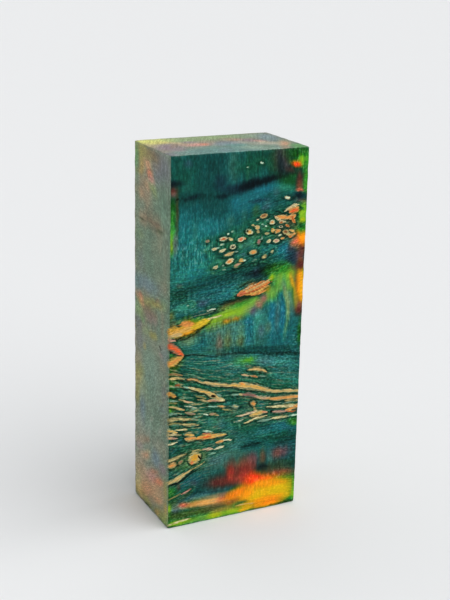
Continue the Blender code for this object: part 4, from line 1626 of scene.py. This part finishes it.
# The ends show their saw marks instead, which run askew from the near left to the far right.
SAW_SLOPE = math.radians(63)
grain_rows = np.stack([across, into, layer], axis=1)
along_cut = across * math.cos(SAW_SLOPE) + into * math.sin(SAW_SLOPE)
over_cut = into * math.cos(SAW_SLOPE) - across * math.sin(SAW_SLOPE)
ends = belongs["top"] | belongs["base"]
grain_rows[ends] = np.stack([along_cut, up, over_cut], axis=1)[ends]
note("grain", grain_rows, "FLOAT_VECTOR")

block_mesh.vertices.foreach_set("co", (sunk * MM + np.array(low)).ravel())
block_mesh.update()

# The map that a painter would use: the four long faces side by side, as if unrolled, with the
# two ends above them.
SHEET = WIDTH + THICK + WIDTH + THICK
BETWEEN_ENDS = 5


def unrolled(corner, normal):
    """Where a corner of the mesh lies on the map, in millimetres."""
    across, into, up = corner
    side = max(range(3), key=lambda axis: abs(normal[axis]))
    if side == 2:
        return (across + (0 if normal[2] > 0 else WIDTH + BETWEEN_ENDS), TALL + into)
    if side == 1:
        return (THICK + across, up) if normal[1] < 0 else (SHEET - across, up)
    return (THICK - into, up) if normal[0] < 0 else (THICK + WIDTH + into, up)


unrolled_map = block_mesh.uv_layers.new(name="OFBake")
for polygon in block_mesh.polygons:
    for loop in polygon.loop_indices:
        corner = spots[block_mesh.loops[loop].vertex_index]
        place = unrolled(corner, polygon.normal)
        unrolled_map.data[loop].uv = (place[0] / SHEET, place[1] / SHEET)

burl = bpy.data.objects.new("dyed_burl_block", block_mesh)
bpy.context.scene.collection.objects.link(burl)
block_mesh.shade_smooth()

# The sanded finish
# The dyed wood is sanded through the grits and wiped with oil. Fibres show as fine light and
# dark dashes along the grain, the bare streaks keep their own fibres, and the gloss is a soft
# satin that dulls over open pores.
wood = bpy.data.materials.new("dyed_burl_wood")
wood.use_nodes = True
tree = wood.node_tree
shader = tree.nodes["Principled BSDF"]


def add(kind, **settings):
    """A node of this kind with these settings."""
    made = tree.nodes.new(kind)
    for name, value in settings.items():
        setattr(made, name, value)
    return made


def feed(socket, value):
    """Gives an input either a number or another node's output."""
    if isinstance(value, bpy.types.NodeSocket):
        tree.links.new(value, socket)
    else:
        socket.default_value = value


def field(name, output="Fac"):
    """One of the fields on the mesh."""
    return add("ShaderNodeAttribute", attribute_name=name).outputs[output]


def reckoned(operation, first, second):
    """One step of arithmetic."""
    made = add("ShaderNodeMath", operation=operation)
    feed(made.inputs[0], first)
    feed(made.inputs[1], second)
    return made.outputs[0]


def times(first, second):
    """The product of two values."""
    return reckoned("MULTIPLY", first, second)


def plus(first, second):
    """The sum of two values."""
    return reckoned("ADD", first, second)


def ramped(value, between, values=(0, 1)):
    """Eases from the first of these values to the second as the input goes between its two."""
    made = add("ShaderNodeMapRange", interpolation_type="SMOOTHSTEP")
    for name, number in zip(("Value", "From Min", "From Max", "To Min", "To Max"),
                            (value, *between, *values)):
        feed(made.inputs[name], number)
    return made.outputs["Result"]


def fibres(coordinates, cells, detail=2.0, roughness=0.6):
    """Noise with this many cells to the unit along each axis."""
    spread = add("ShaderNodeVectorMath", operation="MULTIPLY")
    feed(spread.inputs[0], coordinates)
    spread.inputs[1].default_value = cells
    made = add("ShaderNodeTexNoise")
    feed(made.inputs["Vector"], spread.outputs["Vector"])
    made.inputs["Scale"].default_value = 1.0
    made.inputs["Detail"].default_value = detail
    made.inputs["Roughness"].default_value = roughness
    return made.outputs["Fac"]


def mixed(share, first, second, kind="FLOAT", how="MIX"):
    """The first value where the share is 0, the second where it is 1."""
    made = add("ShaderNodeMix", data_type=kind, blend_type=how)
    feed(made.inputs["Factor"], share)
    feed(made.inputs["A"], first)
    feed(made.inputs["B"], second)
    return made.outputs["Result"]


def blended(share, first, second, how="MIX"):
    """Two colours mixed."""
    return mixed(share, first, second, "RGBA", how)


def toned(colour, value, saturation=1.0, hue=0.5):
    """A colour made lighter or darker, and duller or turned where that is asked for."""
    made = add("ShaderNodeHueSaturation")
    feed(made.inputs["Color"], colour)
    feed(made.inputs["Value"], value)
    feed(made.inputs["Saturation"], saturation)
    feed(made.inputs["Hue"], hue)
    return made.outputs["Color"]


# The fibres lie along the layers, counted in millimetres, or stand upright, counted in metres.
grain = field("grain", "Vector")
place = add("ShaderNodeTexCoord").outputs["Object"]
flowing = fibres(grain, cells=(0.11, 0.4, 1.5), detail=3, roughness=0.65)
speckle = fibres(grain, cells=(0.95, 1.5, 2.1), detail=1.5)
hair = fibres(grain, cells=(0.38, 0.8, 2.9))
strand = fibres(grain, cells=(0.15, 0.5, 1.45))
stain = fibres(grain, cells=(0.30, 0.7, 1.1))
standing = fibres(place, cells=(1250, 1000, 170), detail=3, roughness=0.65)
speckle_standing = fibres(place, cells=(1900, 1700, 850), detail=1.5)
upright_here = field("upright")
calm_here = field("calm")
fibre = mixed(upright_here, flowing, standing)
fine_fibre = mixed(upright_here, speckle, speckle_standing)

# Most of a noise's values lie in its middle. Fibres make the dye lighter or darker, less so
# where the wood is calm. Packed dye darkens it further, and its hue drifts with the stains.
MIDDLE = (0.30, 0.70)
WIDER = (0.26, 0.74)
WIDEST = (0.20, 0.80)
FIBRE_LIGHT = (0.55, 1.50)
FINE_LIGHT = (0.45, 1.65)
CALMING = 0.72
SHADE_STRAY = (0.10, -0.10)
SHADES = (0.05, 1.0)
DARKENING = (1.0, 0.07)
HUE_DRIFT = (0.475, 0.525)
fibre_light = times(ramped(fibre, MIDDLE, FIBRE_LIGHT), ramped(fine_fibre, WIDER, FINE_LIGHT))
fibre_light = mixed(times(calm_here, CALMING), fibre_light, 1.0)
shaded = plus(field("shade"), ramped(fine_fibre, WIDEST, SHADE_STRAY))
darkening = ramped(shaded, SHADES, DARKENING)
drift = mixed(calm_here, ramped(stain, MIDDLE, HUE_DRIFT), 0.5)
dyed = toned(field("dye", "Color"), times(fibre_light, darkening), hue=drift)

# Flecks of the same dye, lighter and duller, lie on the tops of the fine fibres.
FLECKS_BETWEEN = (0.55, 0.70)
FLECKS = (0, 0.60)
CALMED_FLECKS = (1, 0.06)
FLECK_LIGHT = 2.2
FLECK_COLOUR = 0.72
fleck_share = times(ramped(fine_fibre, FLECKS_BETWEEN, FLECKS), darkening)
fleck_share = times(fleck_share, ramped(calm_here, (0, 1), CALMED_FLECKS))
dyed = blended(fleck_share, dyed, toned(field("dye", "Color"), FLECK_LIGHT, FLECK_COLOUR))

# Between the streaks the wood splits into fine strands that took only part of the dye.
STRAND_STRAW = (0.42, 0.40, 0.17, 1.0)
STRAND_MINT = (0.16, 0.36, 0.24, 1.0)
GAPS_BETWEEN, GAP_DARK = (0.34, 0.50), (0.28, 1)
STRANDS_BETWEEN, STRANDS = (0.52, 0.63), (0, 0.90)
STRAWS_BETWEEN = (0.44, 0.56)
STRAND_LIGHT = (0.55, 1.2)
strands_here = field("strands")
dyed = toned(dyed, mixed(strands_here, 1.0, ramped(strand, GAPS_BETWEEN, GAP_DARK)))
strand_share = times(ramped(strand, STRANDS_BETWEEN, STRANDS), strands_here)
strand_colour = blended(ramped(stain, STRAWS_BETWEEN), STRAND_MINT, STRAND_STRAW)
strand_colour = toned(strand_colour, ramped(fine_fibre, MIDDLE, STRAND_LIGHT))
dyed = blended(times(strand_share, darkening), dyed, strand_colour)

# Bare wood has its own two colours, from the rim to the heart, with frayed edges and stains.
FRAYED = (-0.42, 0.32)
RIM_BETWEEN, HEART_BETWEEN = (-0.30, 0.46), (0.42, 0.72)
HAIRS_BETWEEN, HAIR_LIGHT = (0.34, 0.64), (0.66, 1.10)
SPECKLE_LIGHT = (0.78, 1.12)
STAINS_BETWEEN, STAINS = (0.50, 0.66), (0, 0.5)
STAINED = (1.0, 0.86, 0.68, 1.0)
rim = plus(field("bare"), ramped(hair, MIDDLE, FRAYED))
bare_wood = blended(ramped(rim, HEART_BETWEEN), field("tint", "Color"), field("heart", "Color"))
stained_wood = blended(1.0, bare_wood, STAINED, "MULTIPLY")
bare_wood = blended(ramped(stain, STAINS_BETWEEN, STAINS), bare_wood, stained_wood)
bare_light = times(ramped(hair, HAIRS_BETWEEN, HAIR_LIGHT), ramped(speckle, MIDDLE, SPECKLE_LIGHT))
figure = blended(ramped(rim, RIM_BETWEEN), dyed, toned(bare_wood, bare_light))

# The open voids are painted nearly black, as painted shade for the depth of the pits.
VOID_SHADE_COLOUR = (0.004, 0.003, 0.002, 1.0)
figure = blended(field("void_shade"), figure, VOID_SHADE_COLOUR)
feed(shader.inputs["Base Color"], figure)

# The oil leaves a satin, a little glossier on the light fibres, which stand barely proud.
ROUGH_TO_GLOSSY = (0.42, 0.32)
SHINE = 0.13
RELIEF_STRENGTH = 0.12
RELIEF_HEIGHT = 0.00015
feed(shader.inputs["Roughness"], ramped(fibre, MIDDLE, ROUGH_TO_GLOSSY))
shader.inputs["Specular IOR Level"].default_value = SHINE
relief = add("ShaderNodeBump")
relief.inputs["Strength"].default_value = RELIEF_STRENGTH
relief.inputs["Distance"].default_value = RELIEF_HEIGHT
feed(relief.inputs["Height"], plus(fibre, fine_fibre))
feed(shader.inputs["Normal"], relief.outputs["Normal"])

burl.data.materials.append(wood)
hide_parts("burl_block")
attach(burl, "root")

# The pale floor
# A plain matt floor, so wide that it fills the view behind the block. It lies a hair's breadth
# under the base, so that the two faces don't flicker through each other.
FLOOR_RADIUS = 14.0
FLOOR_SIDES = 64
FLOOR_GAP = 0.00005
FLOOR_COLOUR = (0.80, 0.81, 0.82, 1.0)
FLOOR_ROUGHNESS = 0.9
FLOOR_SHINE = 0.1
bpy.ops.mesh.primitive_circle_add(
    vertices=FLOOR_SIDES, radius=FLOOR_RADIUS, fill_type="NGON"
)
floor = bpy.context.object
floor.name = "pale_floor"
floor.location.z = low.z - FLOOR_GAP
paint = bpy.data.materials.new("matt_floor")
paint.use_nodes = True
paint_shader = paint.node_tree.nodes["Principled BSDF"]
paint_shader.inputs["Base Color"].default_value = FLOOR_COLOUR
paint_shader.inputs["Roughness"].default_value = FLOOR_ROUGHNESS
paint_shader.inputs["Specular IOR Level"].default_value = FLOOR_SHINE
floor.data.materials.append(paint)
floor.visible_glossy = False

# The studio light
# Two very broad soft lights, the stronger over the right front and the weaker over the left
# back, in a dim pale room.
ROOM_COLOUR = (1.0, 1.0, 1.0, 1.0)
ROOM_LIGHT = 0.15
room = bpy.data.worlds.new("studio")
room.use_nodes = True
room.node_tree.nodes["Background"].inputs["Color"].default_value = ROOM_COLOUR
room.node_tree.nodes["Background"].inputs["Strength"].default_value = ROOM_LIGHT
bpy.context.scene.world = room


def soft_light(name, toward, breadth, power):
    """A distant light that spreads this many degrees, from this direction."""
    lamp = bpy.data.lights.new(name, "SUN")
    lamp.angle = math.radians(breadth)
    lamp.energy = power
    holder = bpy.data.objects.new(name, lamp)
    holder.rotation_euler = Vector(toward).to_track_quat("Z", "Y").to_euler()
    bpy.context.scene.collection.objects.link(holder)


soft_light("front_light", toward=(0.5, -0.6, 0.8), breadth=80, power=2.7)
soft_light("back_light", toward=(-0.4, 0.7, 0.9), breadth=120, power=1.2)

# The camera
# It stands to the left of the show face and a little above the block, turned slightly on its
# own axis, as the picture was taken.
CAMERA_SIDE = math.radians(-26.76)
CAMERA_RISE = math.radians(17.79)
CAMERA_ROLL = math.radians(1.338)
CAMERA_DISTANCE = 0.4008
AIM_RIGHT, AIM_UP = 0.00257, 0.00999
LENS = 69.08

back = Vector((
    math.sin(CAMERA_SIDE) * math.cos(CAMERA_RISE),
    -math.cos(CAMERA_SIDE) * math.cos(CAMERA_RISE),
    math.sin(CAMERA_RISE),
))
level = Vector((0, 0, 1)).cross(back).normalized()
right = Matrix.Rotation(CAMERA_ROLL, 3, back) @ level
over = back.cross(right)
eye = bpy.data.objects.new("camera", bpy.data.cameras.new("camera"))
eye.data.lens = LENS
target = Vector((0.0, 0.0, TALL * MM / 2)) + AIM_RIGHT * right + AIM_UP * over
eye.matrix_world = Matrix.Translation(target + back * CAMERA_DISTANCE) @ Matrix(
    (right, over, back)
).transposed().to_4x4()
bpy.context.scene.collection.objects.link(eye)
bpy.context.scene.camera = eye
bpy.context.scene.view_settings.view_transform = "Standard"
